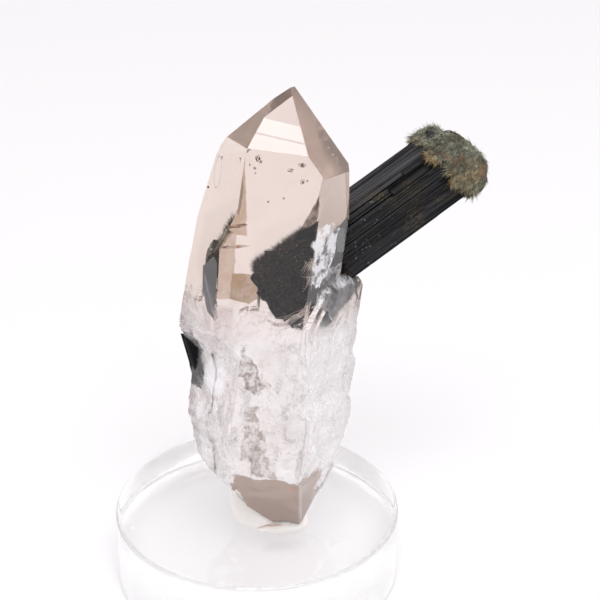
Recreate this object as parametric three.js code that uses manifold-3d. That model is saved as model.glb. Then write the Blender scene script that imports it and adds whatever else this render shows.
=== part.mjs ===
// A pale smoky quartz crystal, pierced by a black aegirine prism and set with putty on a clear acrylic base.
// Millimetres, +Z up. The origin is the centre of the base's underside, and the crystal's front faces -Y.
import * as THREE from "three";
import { ConvexGeometry } from "three/addons/geometries/ConvexGeometry.js";
import { mergeVertices } from "three/addons/utils/BufferGeometryUtils.js";
import Module from "manifold-3d";

const wasm = await Module();
wasm.setup();
const { degToRad } = THREE.MathUtils;

// Driving dimensions
const BASE_DIAMETER = 38;
const BASE_THICKNESS = 10;
const BASE_CHAMFER = 0.7;
const AEGIRINE_RADIUS = 5.2;
const AEGIRINE_LENGTH = 27.4;
const CONTACT_GAP = 0.3; // left between a piece and the one it is set in

// Quartz keeps fixed angles between its faces, whatever their size. A rise is how far a face's normal
// is turned up from level when the crystal's long axis is upright.
const PRISM_RISE = 0;
const RHOMB_RISE = 38.21;
const STEEP_RISE = 14.7;
// The six directions a face can look, in degrees from the front towards the right.
const SIDES = [0, 60, 120, 180, -120, -60];

// How the quartz stands: it leans right and back. Its own origin is on its axis, level with its lower tip,
// and its own +Z runs along the axis.
const QUARTZ_STAND = {
  position: new THREE.Vector3(-2.98, -5.65, 12.26),
  rotation: new THREE.Euler(degToRad(-9.25), degToRad(7.95), degToRad(-0.74), "ZYX"),
};

// A repeatable source of numbers from 0 to 1
function makeRandom(seed) {
  let state = seed;
  return () => {
    state = (state + 0x6d2b79f5) | 0;
    let t = Math.imul(state ^ (state >>> 15), 1 | state);
    t = (t + Math.imul(t ^ (t >>> 7), 61 | t)) ^ t;
    return ((t ^ (t >>> 14)) >>> 0) / 4294967296;
  };
}

const between = (random, low, high) => low + (high - low) * random();

// Solids

// The same closed surface with its shared corners merged, ready to be joined or cut
function solidFrom(geometry) {
  const bare = new THREE.BufferGeometry();
  const source = geometry.index ? geometry.toNonIndexed() : geometry;
  bare.setAttribute("position", source.getAttribute("position").clone());
  const merged = mergeVertices(bare, 1e-4);
  return new wasm.Manifold(
    new wasm.Mesh({
      numProp: 3,
      vertProperties: new Float32Array(merged.attributes.position.array),
      triVerts: new Uint32Array(merged.index.array),
    }),
  );
}

function geometryFrom(solid) {
  const mesh = solid.getMesh();
  const geometry = new THREE.BufferGeometry();
  geometry.setAttribute(
    "position",
    new THREE.BufferAttribute(new Float32Array(mesh.vertProperties), 3),
  );
  geometry.setIndex(
    new THREE.BufferAttribute(new Uint32Array(mesh.triVerts), 1),
  );
  return geometry;
}

function joinAll(solids) {
  return solids.reduce((whole, solid) => whole.add(solid));
}

function placed(solid, matrix) {
  return solidFrom(geometryFrom(solid).applyMatrix4(matrix));
}

// A flat-faced solid: everything behind all of its faces. A face is { normal, distance }. Its corners are the
// points where three faces meet that no other face cuts off.
const PARALLEL = 1e-6;
const ON_FACE = 1e-5;
const SAME_CORNER = 1e-3;

function solidBehind(faces) {
  const planes = faces.map(({ normal, distance }) => new THREE.Plane(normal, -distance));
  const corners = [];
  const meet = new THREE.Matrix3();
  for (let i = 0; i < planes.length; i++)
    for (let j = i + 1; j < planes.length; j++)
      for (let k = j + 1; k < planes.length; k++) {
        const [a, b, c] = [planes[i].normal, planes[j].normal, planes[k].normal];
        meet.set(a.x, a.y, a.z, b.x, b.y, b.z, c.x, c.y, c.z);
        if (Math.abs(meet.determinant()) < PARALLEL) continue;
        const corner = new THREE.Vector3(
          -planes[i].constant,
          -planes[j].constant,
          -planes[k].constant,
        ).applyMatrix3(meet.invert());
        if (planes.every((plane) => plane.distanceToPoint(corner) < ON_FACE))
          corners.push(corner);
      }
  const apart = corners.filter((corner, index) =>
    corners.slice(0, index).every((other) => other.distanceTo(corner) > SAME_CORNER),
  );
  return solidFrom(new ConvexGeometry(apart));
}

// Quartz

function crystalFace(side, rise, distance) {
  const azimuth = degToRad(side);
  const climb = degToRad(rise);
  const normal = new THREE.Vector3(
    Math.sin(azimuth) * Math.cos(climb),
    -Math.cos(azimuth) * Math.cos(climb),
    Math.sin(climb),
  );
  return { normal, distance };
}

// Each face is as far from the crystal's origin as its distance says. prism holds the upright faces, top
// those of the upper point and bottom those of the lower one, in the order of SIDES. extra holds further
// faces, as [side, rise, distance].
function crystalFaces({ prism, top, bottom, extra = [] }) {
  return [
    ...SIDES.map((side, i) => crystalFace(side, PRISM_RISE, prism[i])),
    ...SIDES.map((side, i) => crystalFace(side, RHOMB_RISE, top[i])),
    ...SIDES.map((side, i) => crystalFace(side, -RHOMB_RISE, bottom[i])),
    ...extra.map(([side, rise, distance]) => crystalFace(side, rise, distance)),
  ];
}

// The clear upper crystal with its point. It overhangs the body below on the left, where its first extra face
// is the slanted underside of the overhang. The others round off its left side, its right side and its back.
const HEAD = {
  prism: [8.1, 8.3, 7.3, 8.6, 9.15, 8.2],
  top: [38.22, 36.8, 35.35, 40, 35.35, 38.3],
  bottom: [-4.95, -2, -4, -5, -7.6, -5],
  extra: [
    [-46, -38, -9.66],
    [-95, 17, 21.95],
    [-95, 9.8, 16.27],
    [-95, 3.3, 11.91],
    [95, 16, 21.2],
    [95, 9.9, 16.1],
    [180, 8, 12.13],
  ],
};

// A ledge on the front's left edge, where a second layer grew out a little further. Its first extra face is its
// slanting top, and the second its left front.
const LEDGE = {
  prism: [8.13, 4, 2, 2, 8.9, 11],
  top: [37.5, 36, 34.5, 38, 35, 37.8],
  bottom: [-4.95, -2, -4, -5, -7.6, -5],
  extra: [
    [-70, 16.6, 19.58],
    [-60, -3.3, 7.55],
    [-46, -38, -9.7],
    [-95, 3.3, 11.75],
    [90, 0, -3.5],
  ],
};

// The shoulder on the right, which grew round the underside of the aegirine
const SHOULDER = {
  prism: [7.95, 8.9, 12.7, 8.3, 4.2, 3.6],
  top: [24.6, 27.6, 30.1, 28, 26, 26],
  bottom: [-3.6, -1.4, -1.2, -2.6, -4, -5],
};

// The lower body, which tapers on every side but the front, down to the tip in the putty. The last extra face
// is the rough slope at the lower left.
const BODY = {
  prism: [8, 10.3, 12.8, 8.7, 6.85, 5.8],
  top: [23, 18.85, 20.65, 23.5, 21.5, 22],
  bottom: [0.6, 6.1, 5.5, 0.2, -0.8, -1.6],
  extra: [
    [60, -STEEP_RISE, 7.85],
    [90, -17.7, 8.35],
    [180, -15, 3.3],
    [-120, -20, 1.9],
    [-60, -17.4, 1.55],
    [-90, -52.6, -3.1],
  ],
};

function blockSolid(block, growth) {
  const faces = crystalFaces(block);
  return solidBehind(
    faces.map(({ normal, distance }) => ({ normal, distance: distance + growth })),
  );
}

// Small crystals grown side by side with the large one share its directions, and stand a little proud of it.
const SIDE_CRYSTAL_DEPTH = 2.4; // from its middle to the large crystal's face
const FULL_TURN = 360;
const HALF_TURN = 180;

function turnBetween(side, other) {
  const turn = Math.abs(side - other) % FULL_TURN;
  return Math.min(turn, FULL_TURN - turn);
}

function sideCrystal({ side, along, height, proud, width, length, faceDistance, growth }) {
  const azimuth = degToRad(side);
  const outward = new THREE.Vector3(Math.sin(azimuth), -Math.cos(azimuth), 0);
  const sideways = new THREE.Vector3(Math.cos(azimuth), Math.sin(azimuth), 0);
  const centre = outward
    .clone()
    .multiplyScalar(faceDistance - SIDE_CRYSTAL_DEPTH)
    .addScaledVector(sideways, along)
    .setZ(height);
  const reach = SIDES.map((other) => {
    const turn = turnBetween(side, other);
    if (turn === 0) return SIDE_CRYSTAL_DEPTH + proud;
    return turn < HALF_TURN / 2 ? (width + SIDE_CRYSTAL_DEPTH) / 2 : width / 2;
  });
  const rhomb = degToRad(RHOMB_RISE);
  const cap = reach.map((out) => (length / 2) * Math.sin(rhomb) + out * Math.cos(rhomb));
  const faces = crystalFaces({ prism: reach, top: cap, bottom: cap });
  return solidBehind(
    faces.map(({ normal, distance }) => ({
      normal,
      distance: distance + growth + normal.dot(centre),
    })),
  );
}

// Where the small crystals stand: on every side but the front. The large face is atTip from the axis at the
// tip's height, and moves out by the taper for each millimetre up, to the most given. Pairs are the least and
// the most.
const CRUST_FIELDS = [
  { side: 60, count: 13, atTip: 8, taper: 0.25, most: 10.3, along: [-4, 6], height: [9, 30] },
  { side: 120, count: 13, atTip: 9.4, taper: 0.25, most: 12.7, along: [-5, 5], height: [8, 30] },
  { side: 180, count: 18, atTip: 3.4, taper: 0.27, most: 8.6, along: [-8, 5], height: [5, 33] },
  { side: -120, count: 12, atTip: 2.05, taper: 0.36, most: 6.8, along: [-5, 6], height: [5, 21] },
  { side: -60, count: 14, atTip: 1.6, taper: 0.31, most: 5.75, along: [-7, 5], height: [6, 22] },
];
const CRUST_PROUD = [0.05, 0.5];
const CRUST_WIDTH = [1.6, 4.4];
const CRUST_LENGTH = [1.5, 6];
const CRUST_REACH = 0.5; // none of it stands further out than this
const FRONT_BARE = 0.05; // it ends this far behind the large front face
const CRUST_SEED = 3;

function crustSolid(growth) {
  const random = makeRandom(CRUST_SEED);
  const crystals = CRUST_FIELDS.flatMap((field) =>
    Array.from({ length: field.count }, () => {
      const height = between(random, ...field.height);
      return sideCrystal({
        side: field.side,
        faceDistance: Math.min(field.most, field.atTip + field.taper * height),
        along: between(random, ...field.along),
        height,
        proud: between(random, ...CRUST_PROUD),
        width: between(random, ...CRUST_WIDTH),
        length: between(random, ...CRUST_LENGTH),
        growth,
      });
    }),
  );
  const limits = [BODY, SHOULDER].map((block) => {
    const [front, ...others] = block.prism;
    const prism = [front - CRUST_REACH - FRONT_BARE, ...others];
    return blockSolid({ ...block, prism }, CRUST_REACH + growth);
  });
  return joinAll(crystals).intersect(joinAll(limits));
}

function quartzSolid(growth) {
  const blocks = [HEAD, LEDGE, SHOULDER, BODY].map((block) => blockSolid(block, growth));
  return joinAll([...blocks, crustSolid(growth)]);
}

// Aegirine

// The outline of a striated prism, whose sides are cut into long narrow steps with a groove between each two.
// Corners are directions in degrees from its upper side towards its front.
const GROOVE = 0.12; // of a step's width, at each of its edges

function striatedOutline(corners, radius, stepWidth, stepDepth, random) {
  const points = [];
  const at = (degrees) => {
    const angle = degToRad(degrees);
    return new THREE.Vector2(-Math.sin(angle), Math.cos(angle)).multiplyScalar(radius);
  };
  corners.forEach((corner, i) => {
    const start = at(corner);
    const end = at(corners[(i + 1) % corners.length]);
    const run = end.clone().sub(start);
    const inward = new THREE.Vector2(-run.y, run.x).normalize();
    const steps = Math.max(2, Math.round(run.length() / stepWidth));
    for (let step = 0; step < steps; step++) {
      const sunk = inward.clone().multiplyScalar(stepDepth * random());
      points.push(start.clone().lerp(end, (step + GROOVE) / steps).add(sunk));
      points.push(start.clone().lerp(end, (step + 1 - GROOVE) / steps).add(sunk));
    }
  });
  return points;
}

function prismSolid({ outline, start, end, at = [0, 0] }, growth) {
  const grown = outline.map((point) => point.clone().setLength(point.length() + growth));
  const depth = end - start + 2 * growth;
  const prism = new THREE.ExtrudeGeometry(new THREE.Shape(grown), { depth, bevelEnabled: false });
  return solidFrom(prism.translate(at[0], at[1], start - growth));
}

// The prism runs up its own Z from its broken end inside the quartz, with +Y on its upper side and -X to the
// front. Finer prisms grew along it, and give both ends their steps.
const AEGIRINE_CORNERS = [-8, 24, 78, 128, 172, 204, 258, 308];
const ROD_CORNERS = [0, 60, 120, 180, 240, 300];
const AEGIRINE_RODS = [
  { at: [-2.6, 1.5], radius: 1.9, start: -0.6, end: 27.9 },
  { at: [2.7, 1.6], radius: 1.8, start: -0.9, end: 28.4 },
  { at: [-2.3, -2.2], radius: 2, start: -1.1, end: 26.9 },
  { at: [0.3, 2.7], radius: 1.7, start: -0.5, end: 27.1 },
  { at: [0.3, -0.2], radius: 2.3, start: -1.6, end: 28.1 },
  { at: [1.9, -2.7], radius: 1.7, start: -0.8, end: 28.7 },
];

const STEP_WIDTH = 0.95;
const STEP_DEPTH = 0.34;
const ROD_STEP_DEPTH = 0.12;
const AEGIRINE_SEED = 11;

function aegirineSolid(growth) {
  const random = makeRandom(AEGIRINE_SEED);
  const outline = striatedOutline(AEGIRINE_CORNERS, AEGIRINE_RADIUS, STEP_WIDTH, STEP_DEPTH, random);
  const rods = AEGIRINE_RODS.map((rod) => ({
    ...rod,
    outline: striatedOutline(ROD_CORNERS, rod.radius, STEP_WIDTH, ROD_STEP_DEPTH, random),
  }));
  const main = { outline, start: 0, end: AEGIRINE_LENGTH };
  return joinAll([main, ...rods].map((rod) => prismSolid(rod, growth)));
}

// A prism's place: its start, its aim along Z, and its upper side turned as far up as it can be.
function placeAlong(start, aim) {
  const z = aim.clone().sub(start).normalize();
  const up = new THREE.Vector3(0, 0, 1);
  const x = up.clone().cross(z).normalize();
  const y = z.clone().cross(x);
  return new THREE.Matrix4().makeBasis(x, y, z).setPosition(start);
}

// How the aegirine lies in the quartz's own frame
const AEGIRINE_PLACE = placeAlong(
  new THREE.Vector3(1.75, 2.7, 31.4),
  new THREE.Vector3(21.2, 10.4, 48.1),
);

// The short second crystal, two prisms grown together, is set in the quartz's left side, in the notch below
// the overhang.
const SIDE_RODS = [
  { at: [0, 0], radius: 1.6, start: 0, end: 6.4 },
  { at: [0.4, 0.4], radius: 1, start: -0.7, end: 7 },
];
const SIDE_STEP_WIDTH = 0.7;
const SIDE_SEED = 5;
const SIDE_AEGIRINE_PLACE = placeAlong(
  new THREE.Vector3(-5.9, 1.6, 17.9),
  new THREE.Vector3(-8.3, 1.6, 23.7),
);

function sideAegirineSolid(growth) {
  const random = makeRandom(SIDE_SEED);
  const rods = SIDE_RODS.map((rod) => ({
    ...rod,
    outline: striatedOutline(ROD_CORNERS, rod.radius, SIDE_STEP_WIDTH, ROD_STEP_DEPTH, random),
  }));
  return joinAll(rods.map((rod) => prismSolid(rod, growth)));
}

// Soft and lumpy pieces

// A smooth bumpy number from about -1 to 1 for a point, with lumps about the given size.
function lumps(point, size, phase) {
  const k = (2 * Math.PI) / size;
  const { x, y, z } = point;
  return (
    (Math.sin(k * (x + 0.6 * y) + phase) +
      Math.sin(k * (y + 0.7 * z) + 1.7 * phase) +
      Math.sin(k * (z - 0.5 * x) + 2.3 * phase)) /
    3
  );
}

// A ball of the given radii, pushed in and out by layers of lumps.
function lumpyBall(radii, detail, layers) {
  const geometry = new THREE.IcosahedronGeometry(1, detail);
  const position = geometry.getAttribute("position");
  const point = new THREE.Vector3();
  for (let i = 0; i < position.count; i++) {
    point.fromBufferAttribute(position, i).normalize();
    const surface = point.clone().multiply(radii);
    const push = layers.reduce(
      (sum, { size, height, phase }) =>
        sum + height * lumps(surface, size, phase),
      0,
    );
    surface.addScaledVector(point, push);
    position.setXYZ(i, surface.x, surface.y, surface.z);
  }
  return geometry;
}

// The mossy cap of fine fibres that covers the aegirine's outer end. It is tilted, so that it reaches further
// back over the prism's upper side than over its underside.
const CAP_RADII = new THREE.Vector3(5.9, 5.6, 3.7);
const CAP_TILT = degToRad(-22);
const CAP_LUMPS = [
  { size: 4.6, height: 0.35, phase: 0.8 },
  { size: 2.1, height: 0.15, phase: 2.1 },
];
const CAP_DETAIL = 8;

function fibrousCapSolid() {
  const ball = lumpyBall(CAP_RADII, CAP_DETAIL, CAP_LUMPS);
  const mat = ball.rotateX(CAP_TILT).translate(0, 0, AEGIRINE_LENGTH);
  return solidFrom(mat).subtract(aegirineSolid(CONTACT_GAP));
}

// Mounting putty, pressed on the base and up round the quartz's tip: one large lobe, and a fold in front.
// The centres are above the middle of the base's top.
const PUTTY_LOBES = [
  { centre: [1.1, -3.1, 2.4], radii: [4.5, 4, 4.4], lump: 0.3 },
  { centre: [3.6, -5.1, 0.8], radii: [3.2, 2.3, 1.8], lump: 0.12 },
];
const PUTTY_DETAIL = 6;

function puttySolid(tip) {
  const lobes = PUTTY_LOBES.map(({ centre, radii, lump }) => {
    const ball = lumpyBall(new THREE.Vector3(...radii), PUTTY_DETAIL, [
      { size: 6.5, height: lump, phase: 1.3 },
      { size: 3.1, height: lump / 2, phase: 0.4 },
    ]);
    return solidFrom(ball.translate(...centre).translate(0, 0, BASE_THICKNESS));
  });
  const below = new THREE.BoxGeometry(BASE_DIAMETER, BASE_DIAMETER, BASE_THICKNESS);
  const cut = solidFrom(below.translate(0, 0, BASE_THICKNESS / 2));
  return joinAll(lobes).subtract(cut).subtract(tip);
}

// The base

const BASE_SEGMENTS = 96;

function baseGeometry() {
  const radius = BASE_DIAMETER / 2;
  const profile = [
    [0, 0],
    [radius - BASE_CHAMFER, 0],
    [radius, BASE_CHAMFER],
    [radius, BASE_THICKNESS - BASE_CHAMFER],
    [radius - BASE_CHAMFER, BASE_THICKNESS],
    [0, BASE_THICKNESS],
  ].map(([r, z]) => new THREE.Vector2(r, z));
  return new THREE.LatheGeometry(profile, BASE_SEGMENTS).rotateX(Math.PI / 2);
}

// The object

function piece(name, geometry, color, roughness) {
  const look = new THREE.MeshStandardMaterial({ color, roughness, metalness: 0 });
  const mesh = new THREE.Mesh(geometry, look);
  mesh.name = name;
  return mesh;
}

const BLACK = 0x15181a;
const BLACK_ROUGHNESS = 0.42;

const aegirinePocket = placed(aegirineSolid(CONTACT_GAP), AEGIRINE_PLACE);
const sidePocket = placed(sideAegirineSolid(CONTACT_GAP), SIDE_AEGIRINE_PLACE);
const pierced = quartzSolid(0).subtract(aegirinePocket).subtract(sidePocket);
const quartz = piece("quartz", geometryFrom(pierced), 0xe6dcd6, 0.12);

const aegirine = piece("aegirine", geometryFrom(aegirineSolid(0)), BLACK, BLACK_ROUGHNESS);
aegirine.applyMatrix4(AEGIRINE_PLACE);

const sideSolid = sideAegirineSolid(0);
const sideAegirine = piece("aegirine_side_crystal", geometryFrom(sideSolid), BLACK, BLACK_ROUGHNESS);
sideAegirine.applyMatrix4(SIDE_AEGIRINE_PLACE);

const cap = piece("fibrous_cap", geometryFrom(fibrousCapSolid()), 0x5c6458, 0.95);
cap.applyMatrix4(AEGIRINE_PLACE);

const specimen = new THREE.Group();
specimen.position.copy(QUARTZ_STAND.position);
specimen.rotation.copy(QUARTZ_STAND.rotation);
specimen.add(quartz, aegirine, sideAegirine, cap);
specimen.updateMatrix();

const tipHollow = placed(quartzSolid(CONTACT_GAP), specimen.matrix);
const putty = piece("putty", geometryFrom(puttySolid(tipHollow)), 0xe2d6c8, 0.75);
const base = piece("base", baseGeometry(), 0xf4f6f8, 0.05);

const object = new THREE.Group();
object.add(specimen, putty, base);

export default object;
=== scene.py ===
"""Quartz with aegirine: a pale smoky quartz point, pierced by a black striated prism, on an acrylic disc."""

import math

import bmesh
import bpy
import numpy as np
from mathutils import Euler, Matrix, Vector, noise
from mathutils.bvhtree import BVHTree


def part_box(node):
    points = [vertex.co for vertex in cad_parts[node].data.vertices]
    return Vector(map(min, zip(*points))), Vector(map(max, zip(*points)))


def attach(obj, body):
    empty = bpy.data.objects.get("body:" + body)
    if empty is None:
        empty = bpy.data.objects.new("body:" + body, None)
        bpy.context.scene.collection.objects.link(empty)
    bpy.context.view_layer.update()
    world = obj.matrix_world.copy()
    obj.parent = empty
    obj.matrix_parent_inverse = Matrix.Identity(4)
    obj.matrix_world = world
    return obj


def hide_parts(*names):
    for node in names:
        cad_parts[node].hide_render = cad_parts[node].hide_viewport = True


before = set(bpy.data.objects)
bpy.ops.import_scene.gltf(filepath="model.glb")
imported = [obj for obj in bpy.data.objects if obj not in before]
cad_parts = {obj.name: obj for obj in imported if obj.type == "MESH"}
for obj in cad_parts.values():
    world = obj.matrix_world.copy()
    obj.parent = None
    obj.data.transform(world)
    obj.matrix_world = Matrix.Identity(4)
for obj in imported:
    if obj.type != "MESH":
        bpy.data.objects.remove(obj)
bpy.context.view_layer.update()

MM = 0.001


# The base: a thick disc turned from clear acrylic, polished all over, with a small bevel on both rims.
# Its underside is ground matt. It lies loose on the table, with the putty pressed on the middle of its top.


class Signal:
    """An output of a material's nodes. Arithmetic on it adds Math nodes."""

    def __init__(self, look, socket):
        self.look = look
        self.socket = socket

    def math(self, operation, *others):
        return self.look.node("ShaderNodeMath", {"operation": operation}, dict(enumerate([self, *others])))

    def vector(self, operation, *others):
        values = dict(enumerate([self, *others]))
        return self.look.node("ShaderNodeVectorMath", {"operation": operation}, values)

    def __add__(self, other):
        return self.math("ADD", other)

    __radd__ = __add__

    def __sub__(self, other):
        return self.math("SUBTRACT", other)

    def __rsub__(self, other):
        return self.look.node("ShaderNodeMath", {"operation": "SUBTRACT"}, {0: other, 1: self})

    def __mul__(self, other):
        return self.math("MULTIPLY", other)

    __rmul__ = __mul__

    def __pow__(self, other):
        return self.math("POWER", other)

    def __abs__(self):
        return self.math("ABSOLUTE")

    def most(self, other):
        """The greater of the two."""
        return self.math("MAXIMUM", other)

    def step(self, low, high):
        """0 below low and 1 above high, with a smooth rise between. low may be the greater one."""
        settings = {"interpolation_type": "SMOOTHSTEP"}
        return self.look.node("ShaderNodeMapRange", settings, {"Value": self, 1: low, 2: high})

    def part(self, name):
        """Another output of the same node."""
        return Signal(self.look, self.socket.node.outputs[name])

    def axis(self, name):
        """One coordinate of a place."""
        return self.look.node("ShaderNodeSeparateXYZ", None, {0: self}).part(name)

    def along(self, way):
        """How far a place lies along a direction."""
        return self.vector("DOT_PRODUCT", tuple(way)).part("Value")

    def away(self, spot):
        """How far a place lies from a spot."""
        return self.vector("DISTANCE", tuple(spot)).part("Value")

    def scaled(self, x, y, z):
        """A place whose coordinates are multiplied, so that a pattern there is drawn out or squeezed."""
        return self.vector("MULTIPLY", (x, y, z))


class Look:
    """The nodes of a material or of the world."""

    def __init__(self, block):
        block.use_nodes = True
        self.block = block
        self.tree = block.node_tree
        self.tree.nodes.clear()

    def node(self, kind, settings=None, sockets=None, output=0):
        made = self.tree.nodes.new(kind)
        for name, value in (settings or {}).items():
            setattr(made, name, value)
        for key, value in (sockets or {}).items():
            if isinstance(value, Signal):
                self.tree.links.new(value.socket, made.inputs[key])
            else:
                made.inputs[key].default_value = value
        return Signal(self, made.outputs[output] if made.outputs else None)

    def place(self):
        """Where a point is in its piece's own axes."""
        return self.node("ShaderNodeTexCoord").part("Object")

    def noise(self, place, scale, detail, roughness=0.55):
        sockets = {"Vector": place, "Scale": scale, "Detail": detail, "Roughness": roughness}
        return self.node("ShaderNodeTexNoise", None, sockets)

    def grains(self, place, scale):
        """How far a place lies from the nearest of many scattered spots, in parts of their spacing."""
        return self.node("ShaderNodeTexVoronoi", None, {"Vector": place, "Scale": scale})

    def blend(self, share, first, second):
        """A colour from first, where share is 0, to second, where it is 1."""
        sockets = {0: share, 6: first, 7: second}
        return self.node("ShaderNodeMix", {"data_type": "RGBA"}, sockets, 2)

    def bump(self, height, distance, strength):
        sockets = {"Height": height, "Distance": distance, "Strength": strength}
        return self.node("ShaderNodeBump", None, sockets)

    def surface(self, sockets):
        return self.node("ShaderNodeBsdfPrincipled", None, sockets)

    def absorption(self, colour, density):
        return self.node("ShaderNodeVolumeAbsorption", None, {"Color": colour, "Density": density})

    def finish(self, shader, volume=None):
        ends = {"Surface": shader}
        if volume:
            ends["Volume"] = volume
        self.node("ShaderNodeOutputMaterial", None, ends)
        return self.block


def new_look(name):
    return Look(bpy.data.materials.new(name))


def rgb(red, green, blue):
    return (red, green, blue, 1)


def mesh_from(name, points, faces):
    mesh = bpy.data.meshes.new(name)
    mesh.from_pydata([tuple(p) for p in points], [], faces)
    mesh.validate()
    return mesh


def strip(first, second, count):
    """The quads between two rings of so many points. Each ring is given by the number of its first point."""
    turns = [(i, (i + 1) % count) for i in range(count)]
    return [(first + i, first + j, second + j, second + i) for i, j in turns]


def fan(ring, middle, count):
    """The triangles between a ring and one point."""
    return [(ring + i, ring + (i + 1) % count, middle) for i in range(count)]


def flipped(faces):
    return [face[::-1] for face in faces]


def in_scene(name, data):
    """A new object that holds the mesh, light or camera."""
    made = bpy.data.objects.new(name, data)
    bpy.context.scene.collection.objects.link(made)
    return made


def add_piece(name, mesh, material, nodes=(), stand=None):
    """A new piece of the object, in the place of those CAD nodes."""
    piece = in_scene(name, mesh)
    piece.matrix_world = stand or Matrix.Identity(4)
    mesh.materials.clear()
    mesh.materials.append(material)
    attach(piece, "root")
    if nodes:
        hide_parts(*nodes)
    return piece


BASE_LOW, BASE_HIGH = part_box("base")
BASE_RADIUS = (BASE_HIGH.x - BASE_LOW.x) / 2
BASE_TOP = BASE_HIGH.z
BASE_BEVEL = 0.6 * MM
BASE_SEGMENTS = 256
BEVEL_STEPS = 6
BASE_CREASE = math.radians(40)  # a steeper bend than this stays a sharp edge
ACRYLIC_IOR = 1.49
ACRYLIC_TINT = rgb(0.9, 0.97, 0.94)
ACRYLIC_DENSITY = 2.0  # of the tint, per metre
POLISHED_ROUGHNESS = 0.01
GROUND_ROUGHNESS = 0.25
CLEAR = rgb(1, 1, 1)


def base_mesh():
    """Turned round Z: flat underside and top, straight wall, and a rounded bevel at each rim."""
    bends = [math.pi / 2 * i / BEVEL_STEPS for i in range(BEVEL_STEPS + 1)]
    rim = [(BASE_RADIUS - BASE_BEVEL * (1 - math.sin(a)), BASE_BEVEL * (1 - math.cos(a))) for a in bends]
    profile = rim + [(r, BASE_TOP - z) for r, z in reversed(rim)]
    turns = [2 * math.pi * i / BASE_SEGMENTS for i in range(BASE_SEGMENTS)]
    points = [(r * math.cos(t), r * math.sin(t), z) for r, z in profile for t in turns]
    faces = []
    for ring in range(len(profile) - 1):
        faces += strip(ring * BASE_SEGMENTS, (ring + 1) * BASE_SEGMENTS, BASE_SEGMENTS)
    faces.append(tuple(reversed(range(BASE_SEGMENTS))))
    faces.append(tuple(range(len(points) - BASE_SEGMENTS, len(points))))
    mesh = mesh_from("base_disc", points, faces)
    mesh.shade_smooth()
    mesh.set_sharp_from_angle(angle=BASE_CREASE)
    return mesh


def acrylic():
    look = new_look("clear acrylic")
    place = look.place()
    smears = look.noise(place, 140, 3)
    ground = place.axis("Z").step(0.5 * MM, 0.1 * MM)
    polish = look.surface(
        {
            "Base Color": CLEAR,
            "Roughness": POLISHED_ROUGHNESS + 0.02 * smears + GROUND_ROUGHNESS * ground,
            "IOR": ACRYLIC_IOR,
            "Transmission Weight": 1,
        }
    )
    return look.finish(polish, look.absorption(ACRYLIC_TINT, ACRYLIC_DENSITY))


add_piece("base_disc", base_mesh(), acrylic(), ["base"])


# The putty: off-white mounting putty, rolled by hand and pressed between the base and the quartz's tip.
# It is one soft lump with a fold in front, and it touches the crystal all round the tip.

PUTTY_VOXEL = 0.16 * MM
PUTTY_FOOT = 0.3 * MM  # the lump isn't smoothed lower than this above the base
PUTTY_REACH = 0.5 * MM  # what is nearer to the crystal than this is pressed against it
PUTTY_CLEARANCE = 0.02 * MM
PUTTY_DENTS = [(1.7 * MM, 0.11 * MM), (0.5 * MM, 0.025 * MM)]  # size and height of each layer
FOLD = [  # the line of the crease from left to right, in millimetres
    (0.2, -6.5, 10.3),
    (0.8, -6.7, 10.6),
    (2.1, -7.0, 11.3),
    (3.5, -7.1, 11.65),
    (4.7, -7.05, 11.65),
    (5.7, -6.5, 11.1),
]
FOLD_WIDTH = 0.28 * MM
FOLD_DEPTH = 0.5 * MM
PUTTY_COLOUR = rgb(0.99, 0.89, 0.85)
PUTTY_PALE = rgb(1.0, 0.94, 0.91)
# Painted shade: the colour that darkens the putty in its fold's crease.
PUTTY_FOLD_SHADE = rgb(0.5, 0.31, 0.22)
PUTTY_GRIT = rgb(0.42, 0.2, 0.12)
PUTTY_SPECKS = [  # a dark red speck and an orange one: place, radius and colour
    (Vector((-1.44, -5.5, 14.69)) * MM, 0.26 * MM, rgb(0.1, 0.02, 0.02)),
    (Vector((2.75, -7.07, 11.45)) * MM, 0.2 * MM, rgb(0.6, 0.2, 0.06)),
]
PUTTY_GLOW = (1.9 * MM, 1.7 * MM, 1.6 * MM)  # how far red, green and blue light spread in it


def bare_copy(name, mesh):
    """The same points and faces, with nothing else that the mesh carries."""
    return mesh_from(name, [v.co for v in mesh.vertices], [tuple(f.vertices) for f in mesh.polygons])


def surface_tree(mesh):
    """For finding the nearest point of a CAD node's surface."""
    return BVHTree.FromPolygons([v.co for v in mesh.vertices], [tuple(f.vertices) for f in mesh.polygons])


def remeshed(name, source, voxel):
    """A copy of the source mesh, made of even squares about as large as the voxel."""
    piece = in_scene(name, bare_copy(name, source))
    modifier = piece.modifiers.new("even", "REMESH")
    modifier.mode = "VOXEL"
    modifier.voxel_size = voxel
    made = bpy.data.meshes.new_from_object(piece.evaluated_get(bpy.context.evaluated_depsgraph_get()))
    bpy.data.objects.remove(piece)
    made.name = name
    return made


def points_of(mesh):
    points = np.empty(len(mesh.vertices) * 3)
    mesh.vertices.foreach_get("co", points)
    return points.reshape(-1, 3)


def edges_of(mesh):
    edges = np.empty(len(mesh.edges) * 2, int)
    mesh.edges.foreach_get("vertices", edges)
    return edges.reshape(-1, 2)


def set_points(mesh, points):
    mesh.vertices.foreach_set("co", points.astype(np.float32).ravel())
    mesh.update()


def smoothed(points, edges, weight, rounds):
    """Each point moves towards the middle of its neighbours by its weight, over and over."""
    count = np.bincount(edges.ravel(), minlength=len(points))[:, None]
    for _ in range(rounds):
        total = np.zeros_like(points)
        np.add.at(total, edges[:, 0], points[edges[:, 1]])
        np.add.at(total, edges[:, 1], points[edges[:, 0]])
        points = points + weight[:, None] * (total / count - points)
    return points


def waves(point, layers):
    """The height of uneven waves at a point. Each layer of them has a size and a height."""
    return sum(height * noise.noise(point / size) for size, height in layers)


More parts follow.
